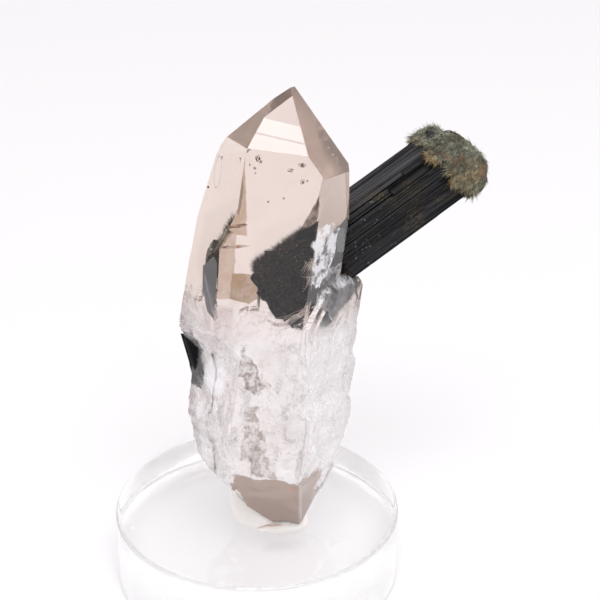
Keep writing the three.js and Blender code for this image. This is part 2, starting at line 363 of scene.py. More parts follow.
def fold_depth(point):
    """How deep the crease is between the lump and the lip that was folded up in front of it."""
    nearest = math.inf
    for start, end in zip(FOLD, FOLD[1:]):
        a, b = Vector(start) * MM, Vector(end) * MM
        share = min(1, max(0, (point - a).dot(b - a) / (b - a).length_squared))
        nearest = min(nearest, (point - a.lerp(b, share)).length)
    return FOLD_DEPTH * math.exp(-((nearest / FOLD_WIDTH) ** 2))


def putty_mesh():
    mesh = remeshed("putty_lump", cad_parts["putty"].data, PUTTY_VOXEL)
    points = points_of(mesh)
    loose = np.where(points[:, 2] > BASE_TOP + PUTTY_FOOT, 0.5, 0.0)
    points = smoothed(points, edges_of(mesh), loose, 6)
    crystal = surface_tree(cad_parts["quartz"].data)
    crease = np.zeros(len(points), np.float32)
    for i, point in enumerate(points):
        point = Vector(point)
        near, normal, _, distance = crystal.find_nearest(point)
        if distance < PUTTY_REACH:
            points[i] = near + normal * PUTTY_CLEARANCE
        else:
            sunk = fold_depth(point)
            push = waves(point, PUTTY_DENTS) * min(1, distance / MM) - sunk
            points[i] += np.array(mesh.vertices[i].normal) * push
            crease[i] = sunk / FOLD_DEPTH
    points[:, 2] = np.maximum(points[:, 2], BASE_TOP + PUTTY_CLEARANCE)
    set_points(mesh, points)
    mesh.attributes.new("crease", "FLOAT", "POINT").data.foreach_set("value", crease)
    mesh.shade_smooth()
    return mesh


def putty():
    look = new_look("mounting putty")
    place = look.place()
    clouds = look.noise(place, 420, 5, 0.6).step(0.35, 0.7)
    colour = look.blend(clouds, PUTTY_COLOUR, PUTTY_PALE)
    grit = look.grains(place, 900).step(0.13, 0.07) * look.noise(place, 700, 2).step(0.6, 0.66)
    colour = look.blend(grit, colour, PUTTY_GRIT)
    crease = look.node("ShaderNodeAttribute", {"attribute_name": "crease"}).part("Fac")
    # Painted shade in the crease, darkest where the fold is deepest.
    colour = look.blend(crease.step(0.55, 0.95) * 0.6, colour, PUTTY_FOLD_SHADE)
    for spot, radius, tint in PUTTY_SPECKS:
        colour = look.blend(place.away(spot).step(radius, 0.6 * radius), colour, tint)
    grain = look.noise(place, 2600, 4, 0.65)
    skin = look.surface(
        {
            "Base Color": colour,
            "Roughness": 0.42 + 0.16 * clouds,
            "Specular IOR Level": 0.5,
            "Subsurface Weight": 0.7,
            "Subsurface Radius": PUTTY_GLOW,
            "Subsurface Scale": 1.0,
            "Normal": look.bump(grain, 0.04 * MM, 0.6),
        }
    )
    return look.finish(skin)


add_piece("putty_lump", putty_mesh(), putty(), ["putty"])


# The quartz: one natural crystal, pale smoky and water-clear above, with flat faces and a sharp point.
# Its lower half is etched and overgrown with ledges, so it is frosted, bright and lumpy.

QUARTZ_FOOT = Vector((-2.98, -5.65, 12.26)) * MM  # where the crystal's own axes start, near its lower tip
QUARTZ_LEAN = Euler([math.radians(turn) for turn in (-9.25, 7.95, -0.74)])
QUARTZ_STAND = Matrix.LocRotScale(QUARTZ_FOOT, QUARTZ_LEAN, None)
END_RISE = 38.21  # degrees: how far a slanting end face of quartz looks up or down
FRONT_FACE = -8.1 * MM
FRONT_SKIN = 0.9 * MM  # the front face is etched less, and this far behind it the etching is full
SIDE_FACE = 8 * MM  # about how far the upright faces beside the front one lie from the axis
TIP_FRONT = (0, -END_RISE, 0.6 * MM)  # a face's side and rise in degrees, and its distance from the start
TIP_RIGHT = (60, -14.7, 7.85 * MM)
POINT_LEFT = (-60, END_RISE, 38.3 * MM)
POINT_RIGHT = (60, END_RISE, 36.8 * MM)
POINT_BACK = (-120, END_RISE, 35.35 * MM)
CLEAR_ABOVE = 31.5 * MM  # heights along the crystal's own axis
ETCHED_BELOW = 26.5 * MM
FINE_BELOW = CLEAR_ABOVE + 1 * MM  # the mesh is fine everywhere under this height
TIP_BELOW = 9.4 * MM  # the lower tip's two front faces are smooth again under this height
TIP_SLACK = 0.15 * MM
ETCHED_EDGE = 0.32 * MM  # how long a mesh edge may be there
PIT_EDGE = 0.06 * MM
SPLIT_ROUNDS = 9
POCKET_WALL = 0.56 * MM  # a pocket's corners lie nearer than this to the crystal in it
POCKET_GAP = 0.45 * MM  # and its faces' middles nearer than this
QUARTZ_CREASE = math.radians(32)
QUARTZ_LEDGES = 0.12 * MM
QUARTZ_LUMPS = 0.22 * MM
LUMP_SIZE = 2.6 * MM
QUARTZ_GRAIN = [(0.45 * MM, 0.035 * MM)]
PIT_STEEPNESS = 1.7
PITS = [  # small natural dents: x, y, z, half width and half height, in millimetres
    (-3.35, -8.1, 50.45, 0.30, 0.38),
    (-2.95, -8.1, 50.05, 0.16, 0.26),
    (-3.55, -8.1, 49.20, 0.20, 0.15),
    (-4.15, -8.1, 49.50, 0.13, 0.18),
    (-3.40, -8.1, 48.60, 0.10, 0.10),
    (0.72, -8.1, 49.50, 0.36, 0.24),
    (1.95, -8.1, 50.30, 0.46, 0.27),
    (2.30, -8.1, 48.30, 0.26, 0.34),
    (2.80, -8.1, 48.50, 0.18, 0.12),
    (-1.45, -8.1, 45.30, 0.12, 0.13),
    (0.35, -8.1, 46.00, 0.15, 0.16),
    (-5.45, -6.98, 49.70, 0.22, 0.26),
    (-7.58, -3.27, 48.60, 0.20, 0.22),
    (-8.80, -1.17, 44.20, 0.24, 0.20),
    (7.30, -4.0, 38.60, 0.30, 0.20),
    (4.20, -3.7, 52.50, 0.14, 0.10),
    (5.05, -3.5, 51.70, 0.22, 0.14),
    (5.70, -3.6, 50.95, 0.28, 0.12),
    (6.30, -3.3, 50.55, 0.16, 0.20),
    (6.50, -3.7, 50.10, 0.20, 0.12),
]


def face_way(side, rise):
    """The way out of a crystal face that looks to that side, in degrees from the front towards the right."""
    turn = math.radians(side)
    climb = math.radians(rise)
    level = math.cos(climb)
    return Vector((math.sin(turn) * level, -math.cos(turn) * level, math.sin(climb)))


LEDGE_TOP = face_way(-70, 16.6)  # this slanting face is made of tiny steps
LEDGE_STEPS = face_way(-60, 0)  # the way that those steps look


def on_tip(point):
    """True on the lower tip's smooth faces."""
    faces = (TIP_FRONT, TIP_RIGHT)
    close = any(face_way(side, rise).dot(point) > out - TIP_SLACK for side, rise, out in faces)
    return close and point.z < TIP_BELOW


def etched_at(point):
    """How far the surface is etched, from 0 to 1, at a point in the crystal's own axes."""
    waver = waves(point, [(4 * MM, 1.6 * MM)])
    share = (CLEAR_ABOVE - point.z + waver) / (CLEAR_ABOVE - ETCHED_BELOW)
    share = min(1, max(0, share))
    return 0.0 if on_tip(point) else share * share * (3 - 2 * share)


def pit_depth(point):
    """How deep the point of a clear face is sunk in a pit with an uneven outline."""
    depth = 0.0
    for x, y, z, wide, high in PITS:
        away = point / MM - Vector((x, y, z))
        if away.length < 1.5 * max(wide, high):
            spread = math.hypot(math.hypot(away.x, away.y) / wide, away.z / high)
            spread += 0.5 * noise.noise(away * 5 + Vector((x, y, z)))
            depth = max(depth, PIT_STEEPNESS * min(wide, high) * (1 - spread))
    return depth * MM


def longest_edge(middle):
    """How long a mesh edge may be where its middle lies: short where it is etched and near the pits."""
    if middle.z < FINE_BELOW - 0.1 * MM:
        return ETCHED_EDGE
    away = min((middle - Vector(pit[:3]) * MM).length - max(pit[3:]) * MM for pit in PITS)
    return PIT_EDGE + 0.7 * max(0, away)


def without_pocket(shape, occupant):
    """Fills the pocket that was left round a crystal set in the quartz, which grew tight against it."""
    wall = surface_tree(occupant)
    pocket = []
    for face in shape.faces:
        if all(wall.find_nearest(v.co)[3] < POCKET_WALL for v in face.verts):
            middle = face.calc_center_median()
            near, _, _, distance = wall.find_nearest(middle)
            towards = (near - middle).normalized()
            if distance < POCKET_GAP and towards.dot(face.normal) > 0.3:
                pocket.append(face)
    bmesh.ops.delete(shape, geom=pocket, context="FACES")
    open_edges = [e for e in shape.edges if e.is_boundary]
    filled = bmesh.ops.holes_fill(shape, edges=open_edges, sides=0)["faces"]
    bmesh.ops.triangulate(shape, faces=filled)


def split_long(shape, longest):
    """Splits edges, round after round, until none is longer than longest says for its middle."""
    for _ in range(SPLIT_ROUNDS):
        long = [e for e in shape.edges if e.calc_length() > longest((e.verts[0].co + e.verts[1].co) / 2)]
        if not long:
            break
        bmesh.ops.subdivide_edges(shape, edges=long, cuts=1)
        bmesh.ops.triangulate(shape, faces=shape.faces[:])


def quartz_form():
    """The CAD node's form in the crystal's own axes, with no pockets, and fine where it will be uneven."""
    shape = bmesh.new()
    shape.from_mesh(bare_copy("quartz_cad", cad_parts["quartz"].data))
    bmesh.ops.remove_doubles(shape, verts=shape.verts[:], dist=0.002 * MM)
    for occupant in ("aegirine", "aegirine_side_crystal"):
        without_pocket(shape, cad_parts[occupant].data)
    shape.transform(QUARTZ_STAND.inverted())
    everything = shape.verts[:] + shape.edges[:] + shape.faces[:]
    bmesh.ops.bisect_plane(shape, geom=everything, plane_co=(0, 0, FINE_BELOW), plane_no=(0, 0, 1))
    bmesh.ops.triangulate(shape, faces=shape.faces[:])
    split_long(shape, longest_edge)
    bmesh.ops.recalc_face_normals(shape, faces=shape.faces[:])
    mesh = bpy.data.meshes.new("quartz_crystal")
    shape.to_mesh(mesh)
    shape.free()
    return mesh


def etch(mesh):
    """Rounds and roughens the etched half, sinks the pits, and marks all the points that it moved."""
    points = points_of(mesh)
    etched = np.array([etched_at(Vector(p)) for p in points])
    behind = np.clip((points[:, 1] - FRONT_FACE) / FRONT_SKIN - 0.1, 0, 1)
    soft = etched * (0.12 + 0.88 * behind)
    points = smoothed(points, edges_of(mesh), 0.5 * soft, 7)
    set_points(mesh, points)
    normals = np.array([v.normal for v in mesh.vertices])
    pits = np.zeros(len(points))
    for i, p in enumerate(points):
        p = Vector(p)
        if soft[i] > 0:
            lumps = QUARTZ_LUMPS * noise.fractal(p / LUMP_SIZE, 0.8, 2.1, 4)
            ledges = QUARTZ_LEDGES * noise.noise(Vector((p.x / 4, p.y / 4, p.z * 1.1)) / MM)
            points[i] += normals[i] * soft[i] * (lumps + ledges + waves(p, QUARTZ_GRAIN))
        if points[i][2] > CLEAR_ABOVE:
            pits[i] = pit_depth(Vector(points[i]))
    points -= normals * pits[:, None]
    set_points(mesh, points)
    return (soft > 0.01) | (pits > 0)


def shade_crystal(mesh, uneven):
    """Flat faces stay flat, uneven ones are smooth, and the ledge's top shines like the steps on it."""
    mesh.shade_smooth()
    mesh.set_sharp_from_angle(angle=QUARTZ_CREASE)
    for face in mesh.polygons:
        face.use_smooth = bool(uneven[list(face.vertices)].any())
    normals = [Vector(corner.vector) for corner in mesh.corner_normals]
    for face in mesh.polygons:
        if face.normal.dot(LEDGE_TOP) > 0.999 and face.center.z > CLEAR_ABOVE:
            for corner in face.loop_indices:
                normals[corner] = LEDGE_STEPS
    mesh.normals_split_custom_set(normals)


def quartz_mesh():
    mesh = quartz_form()
    shade_crystal(mesh, etch(mesh))
    return mesh


QUARTZ_IOR = 1.544
SMOKE = rgb(0.845, 0.74, 0.685)  # the tint of the clear half's faces
SMOKE_INSIDE = rgb(0.6875, 0.3125, 0.125)
SMOKE_DENSITY = 4.0  # per metre
FROST_GREY = rgb(0.93, 0.89, 0.885)
FROST_WHITE = rgb(1, 1, 1)
FLANK_SHADE = rgb(0.6, 0.53, 0.53)
VEIN_BROWN = rgb(0.36, 0.3, 0.27)
MILK = rgb(0.93, 0.93, 0.96)
CROWN_MILK = rgb(0.72, 0.62, 0.55)  # of the back's slanting face on the left, close under the point
CROWN_FROM = 50 * MM
FACE_LOOKS = [  # faces that differ: their tint, and the colour and share of the thick brown clouding under them
    (TIP_FRONT, rgb(0.2, 0.14, 0.1), rgb(0.48, 0.38, 0.33), 0.65),
    (TIP_RIGHT, rgb(0.3, 0.2, 0.16), rgb(0.66, 0.57, 0.52), 0.35),
    # Painted shade: the point's left and right faces are tinted and clouded darker than the quartz itself
    # is.
    (POINT_LEFT, rgb(0.33, 0.19, 0.125), rgb(0.44, 0.35, 0.29), 0.38),
    (POINT_RIGHT, rgb(0.4, 0.25, 0.175), rgb(0.47, 0.35, 0.29), 0.38),
]
CLEAR_ZONES = [  # smoky layers just under the clear front face: tint, and corners' x and z in millimetres
    (rgb(0.34, 0.20, 0.11), [(-4.85, 51.5), (-3.2, 40.9), (-6.3, 40.9)]),
    (rgb(0.10, 0.055, 0.035), [(-4.9, 50.6), (-4.35, 46.2), (-4.5, 43.2), (-5.3, 44.6)]),
    (rgb(0.40, 0.26, 0.18), [(-5.95, 41.3), (-4.5, 41.3), (-3.9, 32.7), (-6.2, 32.4), (-7.0, 38.4)]),
    (rgb(0.20, 0.105, 0.045), [(-4.4, 36.0), (-1.1, 36.2), (-0.7, 33.2), (-1.9, 32.3), (-4.2, 32.7)]),
    (rgb(0.03, 0.013, 0.006), [(4.83, 47.2), (4.95, 41.7), (2.4, 41.0)]),
    (rgb(0.22, 0.17, 0.085), [(4.95, 42.3), (4.95, 41.5), (1.3, 37.8), (0.9, 38.3)]),
]
FROST_ZONES = [  # the same under the frosted part of it
    (rgb(0.15, 0.115, 0.09), [(-2.8, 26.9), (1.8, 21.7), (1.1, 20.3), (-1.1, 21.2), (-2.6, 24.0)]),
    (rgb(0.26, 0.205, 0.17), [(-0.6, 18.2), (0.6, 18.8), (3.8, 9.2), (1.0, 9.2), (-0.6, 12.7)]),
]
# Painted dark: a near-black patch on the left faces, where the black prism is seen through the quartz.
PRISM_IMAGE_TOP = (-8.3, -4.9, 35.4)
PRISM_IMAGE_FOOT = (-6.05, -8.1, 29.7)
PRISM_IMAGE_DARK = rgb(0.006, 0.006, 0.008)
SIDE_ZONES = [  # the same under the two faces beside it, with all three coordinates; the first two are one painted dark patch
    (PRISM_IMAGE_DARK, [PRISM_IMAGE_TOP, (-7.1, -7.2, 37.6), (-6.6, -8.1, 36.8), PRISM_IMAGE_FOOT]),
    (PRISM_IMAGE_DARK, [PRISM_IMAGE_TOP, PRISM_IMAGE_FOOT, (-7.0, -6.5, 30.2), (-7.8, -5.3, 32.2)]),
    (rgb(0.12, 0.08, 0.06), [(7.6, -3.4, 42.1), (8.8, -1.4, 41.6), (9.3, -0.5, 38.2), (8.1, -2.5, 38.7)]),
]
EDGE_LINE = [  # the sharp edge beside the front face is painted as a thin grey line of shade: its two sides' x, and z
    (5.45, 5.62, 29.5),
    (7.36, 7.52, 16.2),
    (7.44, 7.6, 8.7),
]
# Painted shade for the edge line.
PAINTED_EDGE_SHADE = rgb(0.45, 0.4, 0.38)
HAZE_CORNERS = [(6.4, -5.2, 37.6), (9.6, 0.4, 38.6), (11.5, 3.7, 31.0), (5.6, -6.6, 31.0)]
WHITE_WEDGE = [  # a white flaw behind the right face
    (4.8, -7.9, 43.4),
    (6.4, -5.1, 42.9),
    (7.8, -2.7, 42.0),
    (7.3, -3.6, 38.0),
    (6.3, -5.3, 34.5),
    (4.9, -7.7, 35.5),
]
FLAW_REACH = 0.9 * MM  # how thick the haze and the wedge are
CREVICE = Vector((-4.9, -4.1, 20.6)) * MM  # a narrow gap between two small crystals, filled with white
ORANGE_FLECK = Vector((6.65, -6.6, 7.4)) * MM
FLECK_ORANGE = rgb(0.75, 0.3, 0.12)
OVAL_CENTRE = Vector((-7.9, -2.8, 46.7)) * MM  # of a faint closed line on the left face
OVAL_HALVES = (0.8 * MM, 2.0 * MM)  # its half width and half height
OVAL_BROWN = rgb(0.12, 0.09, 0.08)


def wandering(place, scale, detail, reach, middle):
    """The place, moved by noise along each axis by up to reach, in millimetres, one way or both."""
    drift = place.look.noise(place, scale, detail, 0.5).part("Color")
    drift = drift.vector("SUBTRACT", (middle, middle, middle))
    return drift.vector("MULTIPLY_ADD", tuple(part * MM for part in reach), place)


def outlined(place, frayed, corners, reach=0.25 * MM):
    """1 on the flat patch between the corners, which go round it, and 0 off it. Its edges follow frayed."""
    spots = [Vector(corner) * MM for corner in corners]
    out = (spots[1] - spots[0]).cross(spots[2] - spots[1]).normalized()
    mask = abs(place.along(out) - out.dot(spots[0])).step(reach, 0.6 * reach)
    for i, spot in enumerate(spots):
        inward = out.cross(spots[(i + 1) % len(spots)] - spot).normalized()
        edge = inward.dot(spot)
        mask = mask * frayed.along(inward).step(edge - 0.08 * MM, edge + 0.08 * MM)
    return mask


def on_front(corners):
    """The corners' x and z, with y on the front face."""
    return [(x, FRONT_FACE / MM, z) for x, z in corners]


def face_mask(place, face):
    """1 on one of the crystal's faces. The etched tip's faces are less even, and have more slack."""
    side, rise, out = face
    slack = 0.1 * MM if rise < 0 else 0.02 * MM
    return place.along(face_way(side, rise)).step(out - 3 * slack, out - slack)


def face_masks(look, place):
    """The masks of FACE_LOOKS. The two faces of the tip end along wavering lines."""
    masks = [face_mask(place, face) for face, *_ in FACE_LOOKS]
    wander = look.noise(place, 500, 4, 0.6) * (2.4 * MM) - 1.2 * MM
    masks[0] = masks[0] * (place.axis("Z") + wander).step(9.2 * MM, 8.8 * MM)
    masks[1] = masks[1] * (place.axis("X") + wander).step(10.6 * MM, 9.8 * MM)
    return masks


def oval_line(place):
    """1 along the oval's outline."""
    level = Vector((0.5, -0.866, 0))
    wide = (place.along(level) - level.dot(OVAL_CENTRE)) * (1 / OVAL_HALVES[0])
    high = (place.axis("Z") - OVAL_CENTRE.z) * (1 / OVAL_HALVES[1])
    reach = (wide * wide + high * high) ** 0.5
    on_face = place.along(face_way(-60, 0)).step(SIDE_FACE - 0.1 * MM, SIDE_FACE + 0.1 * MM)
    return on_face * abs(reach - 1).step(0.07, 0.03)


def frost_colour(look, place, flank):
    """Nearly white and mottled, darker in places on the left flank, with a few thin brown veins."""
    mottles = look.noise(place, 240, 4, 0.6).step(0.4, 0.62)
    colour = look.blend(mottles, FROST_GREY, FROST_WHITE)
    shade = flank * look.noise(place, 420, 4, 0.6).step(0.62, 0.4)
    colour = look.blend(shade, colour, FLANK_SHADE)
    ridges = look.noise(place.scaled(1, 1, 0.5), 560, 3, 0.6) - 0.5
    veins = abs(ridges).step(0.014, 0.004) * look.noise(place, 330, 2).step(0.46, 0.58)
    return look.blend(veins * 0.65, colour, VEIN_BROWN)


def frost_milk(look, place, rough, flank):
    """The share of white light scattered under the frost: most on the right, where the extra white is
    painted light, on the flank and in a gap.
    """
    clouds = look.noise(place, 300, 5, 0.65).step(0.5, 0.7)
    # Painted light: extra white on the right side, where light through the crystal makes it bright.
    right = place.along(face_way(60, 0)).step(6.6 * MM, SIDE_FACE)
    low = place.axis("Z").step(20 * MM, 17 * MM)
    patches = flank * look.noise(place, 360, 5, 0.6).step(0.47, 0.57) * low
    share = (rough * (0.08 + 0.27 * clouds)).most(rough * right * 0.42).most(rough * patches * 0.5)
    return share.most(place.away(CREVICE).step(3.4 * MM, 1.8 * MM) * 0.7)


def zone_colours(look, place, shredded, colour):
    """The smoky zones and the painted grey shade line along the edge on the front face, and the painted dark
    patch beside it.
    """
    frayed = wandering(place, 900, 3, (0.4, 0.4, 0.4), 0)
    patchy = 0.85 + 0.15 * look.noise(place, 800, 4, 0.6).step(0.38, 0.6)
    grainy = 0.25 + 0.75 * look.noise(place, 1300, 5, 0.7).step(0.6, 0.4)
    for zones, edges, cover in ((CLEAR_ZONES, frayed, patchy), (FROST_ZONES, shredded, grainy)):
        for tint, corners in zones:
            colour = look.blend(outlined(place, edges, on_front(corners)) * cover, colour, tint)
    # Painted shade: a thin grey line along the sharp edge beside the front face.
    for (left, right, z), (lower_left, lower_right, lower_z) in zip(EDGE_LINE, EDGE_LINE[1:]):
        corners = [(left, z), (right, z), (lower_right, lower_z), (lower_left, lower_z)]
        colour = look.blend(outlined(place, frayed, on_front(corners)), colour, PAINTED_EDGE_SHADE)
    masks = [outlined(place, frayed, corners, 0.5 * MM) for _, corners in SIDE_ZONES]
    for mask, (tint, _) in zip(masks, SIDE_ZONES):
        colour = look.blend(mask, colour, tint)
    return look.blend(0.6 * oval_line(place), colour, OVAL_BROWN), masks


def quartz():
    look = new_look("smoky quartz")
    place = look.place()
    masks = face_masks(look, place)
    waver = look.noise(place, 260, 2) * (5 * MM) - 2.5 * MM
    etched = (place.axis("Z") + waver).step(CLEAR_ABOVE, ETCHED_BELOW) * (1 - masks[0]) * (1 - masks[1])
    behind = place.axis("Y").step(FRONT_FACE, FRONT_FACE + FRONT_SKIN)
    flank = place.axis("X").step(-2.6 * MM, -4.2 * MM) * behind
    rough = etched * (0.3 + 0.7 * behind)
    clear = 1 - etched

    torn = wandering(place, 260, 4, (0, 0, 3), 0)
    clouds = look.noise(place, 500, 5, 0.65).step(0.36, 0.62)
    haze = outlined(place, torn, HAZE_CORNERS, FLAW_REACH) * clouds
    shredded = wandering(place, 420, 5, (4.5, 0, 3.5), 0.5)
    flakes = look.noise(place, 650, 4, 0.6).step(0.33, 0.55)
    wedge = outlined(place, shredded, WHITE_WEDGE, FLAW_REACH) * flakes
    milk_and_shade_share = frost_milk(look, place, rough, flank).most(haze * clear * 0.6).most(wedge * clear * 0.72)

    colour = look.blend(etched, SMOKE, frost_colour(look, place, flank))
    colour, side_masks = zone_colours(look, place, shredded, colour)
    # The side patches, the painted dark one among them, are clouded a little too.
    for mask in side_masks:
        milk_and_shade_share = milk_and_shade_share.most(mask * 0.12)
    milk_and_shade_colour = MILK
    # On the point's left and right faces this tint and clouding are painted shade.
    for mask, (_, tint, smoke_and_shade, share) in zip(masks, FACE_LOOKS):
        colour = look.blend(mask, colour, tint)
        milk_and_shade_colour = look.blend(mask, milk_and_shade_colour, smoke_and_shade)
        milk_and_shade_share = milk_and_shade_share.most(mask * share)
    crown = face_mask(place, POINT_BACK) * place.axis("Z").step(CROWN_FROM, CROWN_FROM + 1 * MM)
    milk_and_shade_colour = look.blend(crown, milk_and_shade_colour, CROWN_MILK)
    milk_and_shade_share = milk_and_shade_share.most(crown * 0.75)
    milk_and_shade_colour = look.blend(place.away(ORANGE_FLECK).step(0.32 * MM, 0.2 * MM), milk_and_shade_colour, FLECK_ORANGE)

    coarse = look.noise(place, 520, 5, 0.6)
    ledges = look.noise(place.scaled(0.35, 0.35, 1.6), 700, 4, 0.6)
    fine = look.noise(place, 3200, 3, 0.6)
    relief = rough * (coarse + ledges * 0.7 + fine * 0.22)
    glass = look.surface(
        {
            "Base Color": colour,
            "Roughness": rough * (0.14 + 0.2 * coarse.step(0.42, 0.6)) + 0.3 * haze.most(wedge) * clear,
            "IOR": QUARTZ_IOR,
            "Transmission Weight": 1,
            "Normal": look.bump(relief, 0.3 * MM, 0.9),
        }
    )
    milk_and_shade_skin = look.surface({"Base Color": milk_and_shade_colour, "Roughness": 0.6, "Specular IOR Level": 0.2})
    skin = look.node("ShaderNodeMixShader", None, {0: milk_and_shade_share, 1: glass, 2: milk_and_shade_skin})
    return look.finish(skin, look.absorption(SMOKE_INSIDE, SMOKE_DENSITY))


add_piece("quartz_crystal", quartz_mesh(), quartz(), ["quartz"], QUARTZ_STAND)


# The aegirine: one natural black prism, thick as a finger's end, with long sharp striations and steps.
# It grew through the quartz. Both of its ends are broken into steps. Dust lies on its front, and its upper
# and lower sides carry painted sheen in lighter patches.


def place_along(start, aim):
    """Axes at start: Z runs to the aim, and Y is its upper side."""
    z = (aim - start).normalized()
    x = Vector((0, 0, 1)).cross(z).normalized()
    y = z.cross(x)
    return Matrix.Translation(start) @ Matrix((x, y, z)).transposed().to_4x4()


AEGIRINE_START = Vector((1.75, 2.7, 31.4)) * MM  # in the quartz's own axes
AEGIRINE_AIM = Vector((21.2, 10.4, 48.1)) * MM
AEGIRINE_PLACE = QUARTZ_STAND @ place_along(AEGIRINE_START, AEGIRINE_AIM)
AEGIRINE_RADIUS = 5.2 * MM
AEGIRINE_LENGTH = 27.4 * MM
AEGIRINE_CORNERS = [-8, 24, 78, 128, 172, 204, 258, 308]  # degrees from the upper side towards the front
AEGIRINE_STEP = 0.95 * MM  # the widest striation, and how far the deepest is sunk
AEGIRINE_SINK = 0.3 * MM
AEGIRINE_RINGS = (72, 12)  # of points: along its side, and across each end
AEGIRINE_RODS = [  # finer prisms: x, y, radius, start and end, in millimetres
    (-2.6, 1.5, 1.9, -0.6, 27.9),
    (2.7, 1.6, 1.8, -0.9, 28.4),
    (-2.3, -2.2, 2.0, -1.1, 26.9),
    (0.3, 2.7, 1.7, -0.5, 27.1),
    (0.3, -0.2, 2.3, -1.6, 28.1),
    (1.9, -2.7, 1.7, -0.8, 28.7),
]
CHANNELS = [  # where a ridge has broken away: degrees, half width, start, end and depth, in millimetres
    (14, 0.3, 18.6, 20.0, 0.6),
    (33, 0.2, 20.5, 26.0, 0.35),
    (46, 0.38, 17.8, 26.5, 0.6),
    (64, 0.2, 12.0, 16.5, 0.3),
    (98, 0.24, 20.3, 27.0, 0.5),
    (112, 0.16, 14.0, 22.0, 0.3),
]
LEVEL_SPREAD = 0.15 * MM  # half the length over which a striation changes its level
SPLINTER_WIDTH = 0.7 * MM
SPLINTER_LENGTH = 0.5 * MM
PRISM_CREASE = math.radians(24)


def round_z(degrees, radius):
    angle = math.radians(degrees)
    return Vector((-math.sin(angle) * radius, math.cos(angle) * radius))


def striated_outline(corners, radius, widest, deepest, chance):
    """Points round the prism, four to each step. Each has its place, the way inward, and how it is sunk."""
    samples = []
    ends = [round_z(corner, radius) for corner in corners]
    for i, start in enumerate(ends):
        run = ends[(i + 1) % len(ends)] - start
        inward = Vector((-run.y, run.x)).normalized()
        at = 0.0
        while at < run.length - 0.02 * MM:
            width = min(run.length - at, widest * (0.2 + 0.8 * chance.random() ** 2))
            levels = deepest * chance.random(3) ** 1.4
            breaks = np.sort(chance.uniform(-2, 30, 2)) * MM
            groove = (0.25 + 0.35 * chance.random()) * width
            for share, extra in ((0, groove), (0.16, 0), (0.5, 0), (0.84, 0)):
                place = start + run.normalized() * (at + share * width)
                samples.append((place, inward, levels, breaks, extra))
            at += width
    return samples


def channel_depth(place, z, channels):
    """How far a point is sunk by the channels: steep at the inner end and the sides, running out outward."""
    depth = 0.0
    for degrees, half, start, end, deep in channels:
        aside = (place - round_z(degrees, place.length)).length / MM
        if aside < 2 * half and start < z / MM < end:
            sides = min(1, 2 - aside / half)
            run_out = min(1, (end - z / MM) / 3, (z / MM - start) / 0.25)
            depth = max(depth, deep * sides * run_out)
    return depth * MM


def end_heights(place, length, rods):
    """Where the prism starts and ends at a place across it, in steps like a broken bundle of rods."""
    low, high = 0.0, length
    for x, y, radius, start, end in rods:
        if math.hypot(place.x / MM - x, place.y / MM - y) < radius * 0.98:
            low, high = min(low, start * MM), max(high, end * MM)
    splinter = SPLINTER_LENGTH * noise.cell(Vector((place.x, place.y, 0)) / SPLINTER_WIDTH)
    return low + splinter * 0.8, high - splinter


def side_points(outline, length, rods, channels, rings):
    """The points of the prism's side, ring after ring."""
    points = []
    ends = [end_heights(place, length, rods) for place, *_ in outline]
    for ring in range(rings + 1):
        for (place, inward, levels, breaks, extra), (low, high) in zip(outline, ends):
            z = low + (high - low) * ring / rings
            knots = [at + spread for at in breaks for spread in (-LEVEL_SPREAD, LEVEL_SPREAD)]
            sunk = np.interp(z, knots, [levels[0], levels[1], levels[1], levels[2]]) + extra
            sunk = max(sunk, channel_depth(place, z, channels))
            flat = place + inward * sunk
            points.append((flat.x, flat.y, z))
    return points


def striated_prism(name, outline, length, rods, channels, rings):
    along, across = rings
    count = len(outline)
    points = side_points(outline, length, rods, channels, along)
    faces = []
    for ring in range(along):
        faces += strip(ring * count, (ring + 1) * count, count)
    for end, rim in enumerate((0, along * count)):
        cover = []
        rim_points = points[rim : rim + count]
        for ring in range(1, across):
            inner = len(points)
            share = (1 - ring / across) ** 0.8
            for x, y, _ in rim_points:
                spot = Vector((x * share, y * share))
                points.append((spot.x, spot.y, end_heights(spot, length, rods)[end]))
            cover += strip(rim, inner, count)
            rim = inner
        points.append((0, 0, end_heights(Vector((0, 0)), length, rods)[end]))
        cover += fan(rim, len(points) - 1, count)
        faces += cover if end else flipped(cover)
    mesh = mesh_from(name, points, faces)
    mesh.shade_smooth()
    mesh.set_sharp_from_angle(angle=PRISM_CREASE)
    return mesh


AEGIRINE_BLACK = rgb(0.0030, 0.0030, 0.0038)
AEGIRINE_STREAK = rgb(0.011, 0.0115, 0.0145)
# Painted sheen: lighter patches on the prism's upper and lower sides.
PAINTED_UPPER_SHEEN = rgb(0.075, 0.073, 0.078)
PAINTED_LOWER_SHEEN = rgb(0.03, 0.032, 0.037)
BROWN_DUST = rgb(0.11, 0.085, 0.045)
WHITE_SUGAR = rgb(0.34, 0.35, 0.38)  # tiny grains of quartz near the middle of the prism


